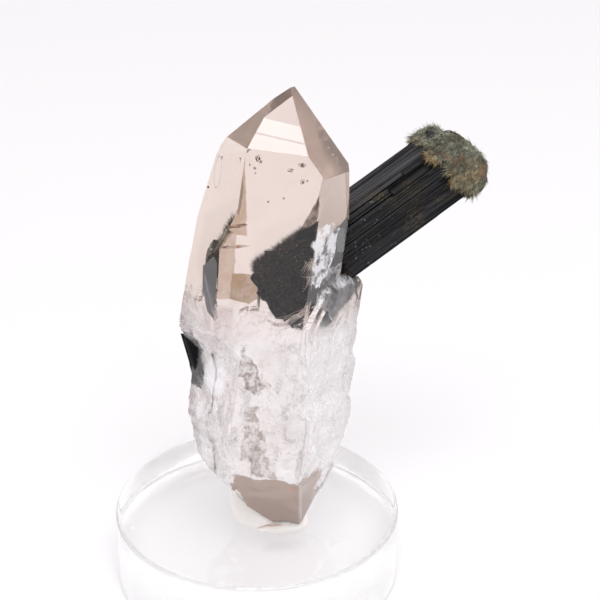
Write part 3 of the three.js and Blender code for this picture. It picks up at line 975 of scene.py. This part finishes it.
def black_aegirine(name, dust_and_sheen):
    """Silky black, streaked along the prism. The second argument is 1 with painted sheen on the upper and
    lower sides, dust and grains on it, and 0 without.
    """
    look = new_look(name)
    place = look.place()
    x = place.axis("X")
    y = place.axis("Y")
    z = place.axis("Z")
    drawn_out = place.scaled(1, 1, 0.035)
    streaks = look.noise(drawn_out, 1500, 5, 0.6)
    hairlines = look.noise(drawn_out, 5200, 3, 0.6)
    colour = look.blend(streaks.step(0.42, 0.7), AEGIRINE_BLACK, AEGIRINE_STREAK)
    patches = streaks.step(0.3, 0.6)
    # Painted sheen: lighter patches along the upper and lower sides, where light falls on them.
    upper = y.step(3.4 * MM, 4.7 * MM)
    colour = look.blend(upper * patches * (0.8 * dust_and_sheen), colour, PAINTED_UPPER_SHEEN)
    lower = y.step(0.5 * MM, -2.5 * MM)
    colour = look.blend(lower * patches * (0.7 * dust_and_sheen), colour, PAINTED_LOWER_SHEEN)
    front = x.step(-1 * MM, -2.6 * MM) * z.step(11 * MM, 17 * MM)
    grit = look.noise(place, 4200, 3, 0.6).step(0.48, 0.62)
    dust = front * look.noise(place, 330, 3, 0.5).step(0.44, 0.66) * grit * dust_and_sheen
    colour = look.blend(dust * 0.75, colour, BROWN_DUST)
    near = z.step(8 * MM, 10 * MM) * z.step(17 * MM, 14.5 * MM) * x.step(-1 * MM, -2.4 * MM)
    sugar = near * look.grains(place, 2300).step(0.24, 0.14) * look.noise(place, 700, 2).step(0.46, 0.56)
    sugar = sugar * dust_and_sheen
    colour = look.blend(sugar * 0.8, colour, WHITE_SUGAR)
    relief = streaks * 0.7 + hairlines * 0.4 + dust * 0.25 + sugar * 0.4
    skin = look.surface(
        {
            "Base Color": colour,
            "Roughness": 0.3 + 0.25 * streaks + 0.3 * dust,
            "IOR": 1.5,
            "Specular IOR Level": 0.16,
            "Normal": look.bump(relief, 0.06 * MM, 0.7),
        }
    )
    return look.finish(skin)


aegirine_outline = striated_outline(
    AEGIRINE_CORNERS, AEGIRINE_RADIUS, AEGIRINE_STEP, AEGIRINE_SINK, np.random.default_rng(11)
)
aegirine_mesh = striated_prism(
    "aegirine_prism", aegirine_outline, AEGIRINE_LENGTH, AEGIRINE_RODS, CHANNELS, AEGIRINE_RINGS
)
# With dust, grains and painted sheen.
dust_and_sheen_black = black_aegirine("black aegirine", 1.0)
add_piece("aegirine_prism", aegirine_mesh, dust_and_sheen_black, ["aegirine"], AEGIRINE_PLACE)


# The felt of fine dark needles that covers the aegirine's broken end inside the quartz.
# They are the same mineral, grown in all directions, with a few white grains between them.

FUZZ_COUNT = 17000
FUZZ_LENGTH = (0.5 * MM, 1.5 * MM)
FUZZ_THICKNESS = (0.03 * MM, 0.075 * MM)
FUZZ_REACH = 8 * MM  # how far from the end they still stand on the prism's sides
FUZZ_END_SHARE = 0.3  # of them stand on the end itself
FUZZ_OUT = 0.93  # how far out their roots are on the sides, in parts of the prism's radius
FUZZ_DARK = rgb(0.014, 0.0085, 0.007)
FUZZ_BROWN = rgb(0.085, 0.052, 0.04)
FUZZ_GRAIN = rgb(0.7, 0.66, 0.6)


def unit(vectors):
    return vectors / np.maximum(np.linalg.norm(vectors, axis=-1, keepdims=True), 1e-12)


def fibre_mesh(name, lines, thickness, chance):
    """Tapered three-sided fibres. lines[i, j] is point j of fibre i, and thickness[i] its root's radius."""
    count, steps = lines.shape[:2]
    along = unit(np.gradient(lines, axis=1))
    side = unit(np.cross(along, unit(chance.normal(size=(count, 1, 3)))))
    other = np.cross(along, side)
    taper = np.linspace(1, 0.4, steps - 1)[None, :, None] * thickness[:, None, None]
    rings = []
    for turn in (0, 2 * math.pi / 3, 4 * math.pi / 3):
        out = math.cos(turn) * side[:, :-1] + math.sin(turn) * other[:, :-1]
        rings.append(lines[:, :-1] + out * taper)
    around = np.stack(rings, axis=2).reshape(count, -1, 3)
    points = np.concatenate([around, lines[:, -1:]], axis=1).reshape(-1, 3)
    tip = around.shape[1]
    pattern = [(0, 2, 1)]
    for ring in range(steps - 2):
        pattern += strip(3 * ring, 3 * ring + 3, 3)
    pattern += fan(tip - 3, tip, 3)
    starts = range(0, (tip + 1) * count, tip + 1)
    mesh = mesh_from(name, points, [tuple(start + c for c in face) for start in starts for face in pattern])
    mesh.shade_smooth()
    return mesh


def bent_lines(roots, ways, lengths, bends, steps):
    """Lines of that many steps from the roots. Each turns steadily from its way by its bend."""
    lines = [roots]
    for step in range(steps):
        now = unit(ways + bends * ((step + 0.5) / steps))
        lines.append(lines[-1] + now * (lengths / steps)[:, None])
    return np.stack(lines, axis=1)


def fuzz_mesh():
    chance = np.random.default_rng(23)
    on_end = chance.random(FUZZ_COUNT) < FUZZ_END_SHARE
    turn = chance.uniform(0, 2 * math.pi, FUZZ_COUNT)
    reach = np.where(on_end, np.sqrt(chance.random(FUZZ_COUNT)) * FUZZ_OUT, FUZZ_OUT)
    back = chance.random(FUZZ_COUNT) ** 1.2 * FUZZ_REACH
    out = np.stack([np.cos(turn), np.sin(turn), np.zeros(FUZZ_COUNT)], axis=1)
    roots = out * (reach * AEGIRINE_RADIUS)[:, None]
    roots[:, 2] = np.where(on_end, (-0.2 + 0.8 * reach**4) * MM, back)
    ways = out * (0.25 + reach**3)[:, None] + np.array([0, 0, -1]) * np.where(on_end, 1.0, 0.35)[:, None]
    ways = unit(unit(ways) + 0.55 * chance.normal(size=(FUZZ_COUNT, 3)))
    lengths = chance.uniform(*FUZZ_LENGTH, FUZZ_COUNT)
    bends = 0.8 * chance.normal(size=(FUZZ_COUNT, 3))
    thickness = chance.uniform(*FUZZ_THICKNESS, FUZZ_COUNT)
    return fibre_mesh("aegirine_needles", bent_lines(roots, ways, lengths, bends, 2), thickness, chance)


def dark_needles():
    look = new_look("dark needles")
    place = look.place()
    tint = look.noise(place, 800, 3).step(0.35, 0.7)
    colour = look.blend(tint, FUZZ_DARK, FUZZ_BROWN)
    grains = look.grains(place, 1500).step(0.2, 0.12) * look.noise(place, 500, 2).step(0.46, 0.54)
    colour = look.blend(grains, colour, FUZZ_GRAIN)
    skin = {"Base Color": colour, "Roughness": 0.55 - 0.15 * tint, "IOR": 1.5, "Specular IOR Level": 0.3}
    return look.finish(look.surface(skin))


add_piece("aegirine_needles", fuzz_mesh(), dark_needles(), (), AEGIRINE_PLACE)


# A bundle of straight grey-green needles of the same mineral, just under the quartz's left front edge.
# They are enclosed in the clear quartz.

BUNDLE_COUNT = 26
BUNDLE_START = np.array((-5.6, -7.75, 41.0)) * MM
BUNDLE_END = np.array((-7.1, -6.4, 36.9)) * MM
BUNDLE_SPREAD = (0.15 * MM, 0.3 * MM)  # at its start and at its end
BUNDLE_THICKNESS = (0.03 * MM, 0.07 * MM)
NEEDLE_GREEN = rgb(0.3, 0.31, 0.24)
NEEDLE_PALE = rgb(0.85, 0.85, 0.72)


def bundle_mesh():
    chance = np.random.default_rng(3)
    starts = BUNDLE_START + chance.normal(size=(BUNDLE_COUNT, 3)) * BUNDLE_SPREAD[0]
    ends = BUNDLE_END + chance.normal(size=(BUNDLE_COUNT, 3)) * BUNDLE_SPREAD[1]
    lengths = np.linalg.norm(ends - starts, axis=1) * chance.uniform(0.5, 1, BUNDLE_COUNT)
    straight = np.zeros_like(starts)
    lines = bent_lines(starts, unit(ends - starts), lengths, straight, 2)
    return fibre_mesh("green_needles", lines, chance.uniform(*BUNDLE_THICKNESS, BUNDLE_COUNT), chance)


def pale_fibres(name, scale, detail, dark, pale, roughness):
    """Glossy fibres, with colours that change from dark to pale from place to place."""
    look = new_look(name)
    tint = look.noise(look.place(), scale, detail).step(0.35, 0.65)
    return look.finish(look.surface({"Base Color": look.blend(tint, dark, pale), "Roughness": roughness}))


green_needles = pale_fibres("green needles", 1400, 3, NEEDLE_GREEN, NEEDLE_PALE, 0.45)
add_piece("green_needles", bundle_mesh(), green_needles, (), QUARTZ_STAND)


# White hairs of another mineral, in a burst and in a few wisps close behind the quartz's right front edge.
# They are enclosed in the clear quartz too.

HAIR_BUNDLES = [  # root, main way, spread, shortest and longest, and how many, in millimetres
    ((4.7, -7.3, 38.3), (0.2, 0.4, -1.0), 0.35, 1.2, 3.2, 30),
    ((5.0, -7.2, 36.2), (0.5, 0.5, -1.0), 0.45, 0.8, 2.4, 24),
    ((5.0, -7.3, 32.0), (-1.0, 0.1, -0.75), 0.13, 2.0, 4.6, 16),
    ((5.3, -7.0, 33.0), (-0.45, 0.2, -1.0), 0.15, 1.5, 3.6, 12),
]
HAIR_THICKNESS = (0.02 * MM, 0.045 * MM)
HAIR_ROOM = 7.95 * MM  # from the crystal's axis, so that no hair comes out of a face
HAIR_GREY = rgb(0.8, 0.77, 0.76)
HAIR_WHITE = rgb(1, 0.99, 0.99)


def hair_mesh():
    chance = np.random.default_rng(8)
    lines = []
    for root, way, spread, shortest, longest, count in HAIR_BUNDLES:
        ways = unit(unit(np.array(way)) + spread * chance.normal(size=(count, 3)))
        roots = np.array(root) * MM + 0.25 * MM * chance.normal(size=(count, 3))
        lengths = chance.uniform(shortest, longest, count) * MM
        lines.append(bent_lines(roots, ways, lengths, 0.25 * chance.normal(size=(count, 3)), 4))
    lines = np.concatenate(lines)
    for side in (0, 60):
        out = np.array(face_way(side, 0))
        lines -= np.maximum(lines @ out - HAIR_ROOM, 0)[..., None] * out
    return fibre_mesh("white_hairs", lines, chance.uniform(*HAIR_THICKNESS, len(lines)), chance)


white_hairs = pale_fibres("white hairs", 900, 2, HAIR_GREY, HAIR_WHITE, 0.35)
add_piece("white_hairs", hair_mesh(), white_hairs, (), QUARTZ_STAND)


# Cracks inside the clear quartz: thin gaps with wavy sides, white where they catch the light and brown
# where iron has stained them.

CRACKS = [  # middle, long way, short way, and the two half sizes, in millimetres
    ((3.3, -7.4, 30.6), (4.4, 0.5, 2.8), (-0.3, 0.3, 1.0), 2.3, 0.17),
    ((3.7, -7.2, 29.8), (4.4, 0.6, 2.2), (-0.3, 0.3, 1.0), 1.7, 0.12),
    ((5.2, -6.9, 31.2), (1.7, 0.5, 3.0), (-1.0, 0.3, 0.6), 1.5, 0.12),
    ((5.2, -6.9, 38.4), (1.5, 0.4, -1.6), (1.0, 0.0, 1.0), 1.1, 0.1),
    ((5.9, -6.0, 37.6), (1.8, 1.2, -1.4), (0.5, 0.0, 1.0), 1.3, 0.12),
    ((6.4, -5.2, 37.4), (0.3, 0.5, 1.6), (1.0, 0.5, 0.0), 0.8, 0.1),
    ((8.2, -2.0, 39.8), (0.5, 0.866, 0.0), (-0.8, 0.5, 0.8), 1.1, 0.14),
]
STAINED_CRACKS = [
    ((-4.7, -7.3, 41.6), (2.5, 0.3, 0.6), (0.0, 0.45, 0.9), 1.4, 0.24),
    ((-4.6, -7.3, 39.0), (2.8, 0.2, 0.5), (0.0, 0.45, 0.9), 1.7, 0.2),
]
CRACK_THICKNESS = 0.03  # in millimetres too
CRACK_RINGS = 10
CRACK_SEGMENTS = 48


def crack_side(middle, long_way, short_way, half_length, half_width, side):
    """The points of one side of a thin lens that bends a little and has an uneven rim."""
    along = Vector(long_way).normalized()
    across = (Vector(short_way) - Vector(short_way).project(along)).normalized()
    out = along.cross(across)
    points = []
    for ring in range(CRACK_RINGS):
        share = 1 - ring / CRACK_RINGS
        for i in range(CRACK_SEGMENTS):
            turn = 2 * math.pi * i / CRACK_SEGMENTS
            rim = 1 + 0.35 * noise.noise(Vector((math.cos(turn) * 2, math.sin(turn) * 2, middle[2])))
            a, b = math.cos(turn) * share * rim * half_length, math.sin(turn) * share * rim * half_width
            flat = Vector(middle) + along * a + across * b
            bend = 0.12 * noise.noise(flat * 1.1) * half_length
            swell = side * CRACK_THICKNESS * (1 - share * share) / 2
            points.append((flat + out * (bend + swell)) * MM)
    return points


def crack_mesh(name, cracks):
    """Each crack is a lens of two sides, joined at its rim."""
    points = []
    faces = []
    for sizes in cracks:
        for side in (1, -1):
            cover = []
            ring = len(points)
            points += crack_side(*sizes, side)
            for _ in range(CRACK_RINGS - 1):
                cover += strip(ring, ring + CRACK_SEGMENTS, CRACK_SEGMENTS)
                ring += CRACK_SEGMENTS
            cover += fan(ring, len(points), CRACK_SEGMENTS)
            points.append(points[-1])  # the smallest ring is closed by its own last point
            faces += cover if side > 0 else flipped(cover)
    shape = bmesh.new()
    shape.from_mesh(mesh_from(name, points, faces))
    bmesh.ops.remove_doubles(shape, verts=shape.verts[:], dist=0.001 * MM)
    mesh = bpy.data.meshes.new(name)
    shape.to_mesh(mesh)
    shape.free()
    mesh.shade_smooth()
    return mesh


def crack(name, dark, pale, least, most):
    """Wisps of colour, and between them a gap that can be seen through. least and most are its cover."""
    look = new_look(name)
    wisps = look.noise(look.place().scaled(1, 1, 1.8), 1100, 4, 0.65)
    colour = look.blend(wisps.step(0.4, 0.6), dark, pale)
    cover = least + (most - least) * wisps.step(0.46, 0.62)
    skin = look.surface({"Base Color": colour, "Roughness": 0.3 + 0.2 * wisps, "IOR": 1.5, "Alpha": cover})
    return look.finish(skin)


white_crack = crack("crack", rgb(0.8, 0.77, 0.76), rgb(1.0, 0.99, 0.99), 0.0, 0.9)
stained_crack = crack("stained crack", rgb(0.16, 0.075, 0.045), rgb(0.62, 0.4, 0.28), 0.15, 0.95)
white_lenses = crack_mesh("cracks", CRACKS)
add_piece("cracks", white_lenses, white_crack, (), QUARTZ_STAND)
stained_lenses = crack_mesh("stained_cracks", STAINED_CRACKS)
add_piece("stained_cracks", stained_lenses, stained_crack, (), QUARTZ_STAND)


# The second aegirine: a short glossy black crystal, set in the quartz's left side below the overhang.
# Its broken end stands out in the notch.

STUB_PLACE = QUARTZ_STAND @ place_along(Vector((-5.9, 1.6, 17.9)) * MM, Vector((-8.3, 1.6, 23.7)) * MM)
STUB_RADIUS = 1.6 * MM
STUB_LENGTH = 6.4 * MM
STUB_CORNERS = [0, 60, 120, 180, 240, 300]
STUB_STEP = 0.7 * MM
STUB_SINK = 0.14 * MM
STUB_RINGS = (24, 5)
STUB_RODS = [(0.4, 0.4, 1.0, -0.7, 7.0)]

stub_outline = striated_outline(STUB_CORNERS, STUB_RADIUS, STUB_STEP, STUB_SINK, np.random.default_rng(5))
stub_mesh = striated_prism("aegirine_stub", stub_outline, STUB_LENGTH, STUB_RODS, [], STUB_RINGS)
glossy_black = black_aegirine("glossy aegirine", 0.0)
add_piece("aegirine_stub", stub_mesh, glossy_black, ["aegirine_side_crystal"], STUB_PLACE)


# The cap on the aegirine's outer end: a mat of fine fibres, grey-green on top and tan at its ragged rim.
# It is combed over the end of the prism, in clumps that curl at the rim, with stray fibres round it.

FELT_VOXEL = 0.2 * MM
FELT_SUNK = 0.3 * MM  # the mat under the fibres, behind the cap's own outline
FELT_CLUMPS = [(1.5 * MM, 1), (0.6 * MM, 0.5)]
CAP_HOLE = Vector((-1.3, 3.9, 29.6)) * MM  # a dark hollow on its top
CAP_RIM = (27.9 * MM, 25.6 * MM)  # along the prism: where the tan begins, and where it is full
FELT_GREEN = (0.12, 0.125, 0.095)
FELT_TAN = rgb(0.2, 0.145, 0.075)
FIBRE_GREEN = (0.50, 0.51, 0.39)
FIBRE_TAN = rgb(0.60, 0.43, 0.21)
FIBRE_BROWN = rgb(0.26, 0.14, 0.07)
STRAND_SHADE = rgb(0.1, 0.082, 0.058)
HOLE_BLACK = rgb(0.01, 0.009, 0.008)
FIBRE_COUNT = 12000
FIBRE_LENGTH = (0.5 * MM, 1.5 * MM)
FIBRE_THICKNESS = (0.025 * MM, 0.055 * MM)
FIBRE_LIFT = 0.1
FIBRE_STRAY = 0.2
RIM_CROWD = 2.2  # how many times thicker the fibres stand at the rim
DOWN = AEGIRINE_PLACE.to_3x3().inverted() @ Vector((0, 0, -1))


def felt_mesh():
    mesh = remeshed("cap_felt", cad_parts["fibrous_cap"].data, FELT_VOXEL)
    mesh.transform(AEGIRINE_PLACE.inverted())
    points = points_of(mesh)
    points = smoothed(points, edges_of(mesh), np.full(len(points), 0.5), 4)
    set_points(mesh, points)
    for i, vertex in enumerate(mesh.vertices):
        p = Vector(points[i])
        if math.hypot(p.x, p.y) > 0.97 * AEGIRINE_RADIUS or p.z > AEGIRINE_LENGTH:
            sunk = FELT_SUNK + 0.4 * MM * min(waves(p, FELT_CLUMPS), 0.3)
            points[i] -= np.array(vertex.normal) * sunk
    set_points(mesh, points)
    mesh.shade_smooth()
    return mesh


def felt(name, green, tan, bumpy):
    look = new_look(name)
    place = look.place()
    x = place.axis("X")
    y = place.axis("Y")
    clumps = look.noise(place, 420, 3, 0.6).step(0.38, 0.62)
    colour = look.blend(clumps, rgb(*[0.4 * c for c in green]), rgb(*green))
    brown = look.noise(place, 260, 2).step(0.56, 0.68)
    colour = look.blend(brown * 0.75, colour, FIBRE_BROWN)
    height = place.axis("Z") + y * 0.15 + look.noise(place, 300, 2) * (3 * MM)
    lobe = x.step(-4.2 * MM, -5.4 * MM) * y.step(1.6 * MM, -0.4 * MM)
    share = height.step(*CAP_RIM).most(lobe * 0.7) * look.noise(place, 900, 2).step(0.3, 0.55)
    colour = look.blend(share, colour, tan)
    strands = look.noise(place, 1700, 3, 0.6).step(0.56, 0.42)
    colour = look.blend(strands * 0.65, colour, STRAND_SHADE)
    colour = look.blend(place.away(CAP_HOLE).step(0.8 * MM, 0.45 * MM), colour, HOLE_BLACK)
    fine = look.noise(place, 2600, 3, 0.6)
    sockets = {"Base Color": colour, "Roughness": 0.85 - 0.1 * fine, "Specular IOR Level": 0.2}
    if bumpy:
        sockets["Normal"] = look.bump(fine, 0.12 * MM, 0.8)
    return look.finish(look.surface(sockets))


felt_core = felt_mesh()
felt_mat = felt("felt mat", FELT_GREEN, FELT_TAN, True)
add_piece("cap_felt", felt_core, felt_mat, ["fibrous_cap"], AEGIRINE_PLACE)


def scattered(mesh, count, keep, chance):
    """Places on the mesh's faces that keep takes, with the surface's own direction there."""
    mesh.calc_loop_triangles()
    corners = np.array([[mesh.vertices[v].co for v in t.vertices] for t in mesh.loop_triangles])
    across = np.cross(corners[:, 1] - corners[:, 0], corners[:, 2] - corners[:, 0])
    weight = np.linalg.norm(across, axis=1) * np.array([keep(c) for c in corners.mean(axis=1)])
    chosen = chance.choice(len(corners), count, p=weight / weight.sum())
    first, second = chance.random((2, count))
    over = first + second > 1
    first[over], second[over] = 1 - first[over], 1 - second[over]
    own = corners[chosen]
    places = own[:, 0] + first[:, None] * (own[:, 1] - own[:, 0]) + second[:, None] * (own[:, 2] - own[:, 0])
    return places, unit(across[chosen])


def clumped(places, size):
    """A direction for each place that is much the same for its neighbours, so that fibres lie in clumps."""
    return np.array([noise.noise_vector(Vector(p) / size) for p in places])


def outside(centre):
    """How likely a fibre grows there: not against the prism, and thicker at the rim."""
    against = math.hypot(centre[0], centre[1]) < AEGIRINE_RADIUS * 0.91 and centre[2] < AEGIRINE_LENGTH
    return 0.0 if against else (RIM_CROWD if centre[2] < CAP_RIM[1] else 1.0)


def combed_mesh(name, chance):
    roots, out = scattered(felt_core, FIBRE_COUNT, outside, chance)
    rim = np.clip((27 * MM - roots[:, 2]) / (3 * MM), 0, 1)[:, None]
    flow = np.array(DOWN) * 0.35 + np.array([0, 0, -1.0]) * (0.3 + rim)
    flow = flow + clumped(roots, 1.5 * MM) * 1.1 + clumped(roots, 0.5 * MM) * 0.5
    flow = flow + FIBRE_STRAY * chance.normal(size=flow.shape)
    flow = unit(flow - out * np.sum(flow * out, axis=1, keepdims=True))
    raised = FIBRE_LIFT * chance.random((FIBRE_COUNT, 1))
    ways = unit(flow + out * raised)
    bends = -out * (0.5 + 0.7 * chance.random((FIBRE_COUNT, 1))) + 0.5 * clumped(roots, 0.8 * MM)
    reach = chance.uniform(*FIBRE_LENGTH, FIBRE_COUNT)
    thickness = chance.uniform(*FIBRE_THICKNESS, FIBRE_COUNT)
    return fibre_mesh(name, bent_lines(roots, ways, reach, bends, 3), thickness, chance)


combed = combed_mesh("cap_fibres", np.random.default_rng(41))
fibres = felt("fibres", FIBRE_GREEN, FIBRE_TAN, False)
add_piece("cap_fibres", combed, fibres, (), AEGIRINE_PLACE)


# The table under it: one white sheet that runs past the view on all sides, just below the base.
# Two dull cards lie on it to the left and in front, and show only in glass and in reflections.

TABLE_HEIGHT = -0.15 * MM
TABLE_HALF = 3.0
TABLE_WHITE = rgb(0.83, 0.82, 0.832)
CARD_HEIGHT = 0.1 * MM
CARD_FADE = (50 * MM, 110 * MM)  # how far back its colour changes from the near one to the far one


def sheet(name, low, high, height):
    """A flat rectangle between two corners' x and y."""
    corners = [(low[0], low[1]), (high[0], low[1]), (high[0], high[1]), (low[0], high[1])]
    piece = in_scene(name, mesh_from(name, [(x, y, height) for x, y in corners], [(0, 1, 2, 3)]))
    return piece


def table():
    piece = sheet("table", (-TABLE_HALF, -TABLE_HALF), (TABLE_HALF, TABLE_HALF), TABLE_HEIGHT)
    look = new_look("white table")
    paper = look.surface({"Base Color": TABLE_WHITE, "Roughness": 0.9, "Specular IOR Level": 0.1})
    piece.data.materials.append(look.finish(paper))


def dull_card(name, low, high, near, far):
    card = sheet(name, low, high, CARD_HEIGHT)
    look = new_look(name)
    colour = look.blend(look.place().axis("Y").step(*CARD_FADE), near, far)
    card.data.materials.append(look.finish(look.surface({"Base Color": colour, "Roughness": 0.9})))
    card.visible_camera = False
    card.visible_diffuse = False
    card.visible_shadow = False


table()
dull_card("left_card", (-0.9, -0.3), (-0.045, 0.13), rgb(0.29, 0.24, 0.21), rgb(0.6, 0.56, 0.53))
dull_card("front_card", (-0.9, -1.5), (0.9, -0.05), rgb(0.75, 0.74, 0.75), rgb(0.75, 0.74, 0.75))


# The light: a pale surround that is darker low behind the camera, and one level softbox above the front.
# The softbox is parted by a narrow gap, and the crystal's upper face mirrors its far edge.

SURROUND_BRIGHT = rgb(1.0, 0.985, 1.0)
SURROUND_DARK = rgb(0.6, 0.58, 0.575)
SURROUND_STRENGTH = 1.09
SOFTBOX_HEIGHT = 600 * MM
SOFTBOX_EDGE = Vector((95, -179.5)) * MM  # the middle of its far edge
SOFTBOX_TURN = math.radians(-9)
SOFTBOX_WIDTH = 400 * MM
SOFTBOX_GLOW = 5.15  # its radiance


def studio():
    world = bpy.data.worlds.new("studio")
    bpy.context.scene.world = world
    look = Look(world)
    way = look.node("ShaderNodeTexCoord").part("Generated")
    back = way.axis("Y").step(-0.75, 0.1)
    over = way.axis("Z").step(0.55, 0.8)
    colour = look.blend(back.most(over * 0.8), SURROUND_DARK, SURROUND_BRIGHT)
    sky = look.node("ShaderNodeBackground", None, {"Color": colour, "Strength": SURROUND_STRENGTH})
    look.node("ShaderNodeOutputWorld", None, {"Surface": sky})


def softbox(name, gap, depth):
    """A level area light that faces down. gap is from the far edge to it."""
    light = bpy.data.lights.new(name, "AREA")
    light.shape = "RECTANGLE"
    light.size = SOFTBOX_WIDTH
    light.size_y = depth
    light.energy = SOFTBOX_GLOW * math.pi * SOFTBOX_WIDTH * depth
    lamp = in_scene(name, light)
    back = gap + depth / 2
    x = SOFTBOX_EDGE.x + math.sin(SOFTBOX_TURN) * back
    y = SOFTBOX_EDGE.y - math.cos(SOFTBOX_TURN) * back
    lamp.location = (x, y, SOFTBOX_HEIGHT)
    lamp.rotation_euler = (0, 0, SOFTBOX_TURN)


studio()
softbox("front_strip", 0, 6.6 * MM)
softbox("front_softbox", 7.4 * MM, 290 * MM)


# The camera: it stands in front and looks down a little, as the base's ellipse shows.
# All its values are fitted to the outlines of the base and the crystal.

CAMERA_PLACE = (0.00577, -0.21432, 0.15636)
CAMERA_PITCH = math.radians(28.25)
CAMERA_SENSOR = 36  # in millimetres, as the lens is
CAMERA_LENS = 114.9


def photo_camera():
    data = bpy.data.cameras.new("camera")
    data.sensor_width = CAMERA_SENSOR
    data.lens = CAMERA_LENS
    data.clip_start = 0.01
    data.clip_end = 20
    camera = in_scene("camera", data)
    camera.location = CAMERA_PLACE
    camera.rotation_euler = (math.pi / 2 - CAMERA_PITCH, 0, 0)
    bpy.context.scene.camera = camera


photo_camera()

scene = bpy.context.scene
scene.view_settings.view_transform = "Standard"
scene.cycles.max_bounces = 32
scene.cycles.transmission_bounces = 32
scene.cycles.glossy_bounces = 16
scene.cycles.volume_bounces = 0
scene.cycles.blur_glossy = 0.1
scene.cycles.sample_clamp_indirect = 8
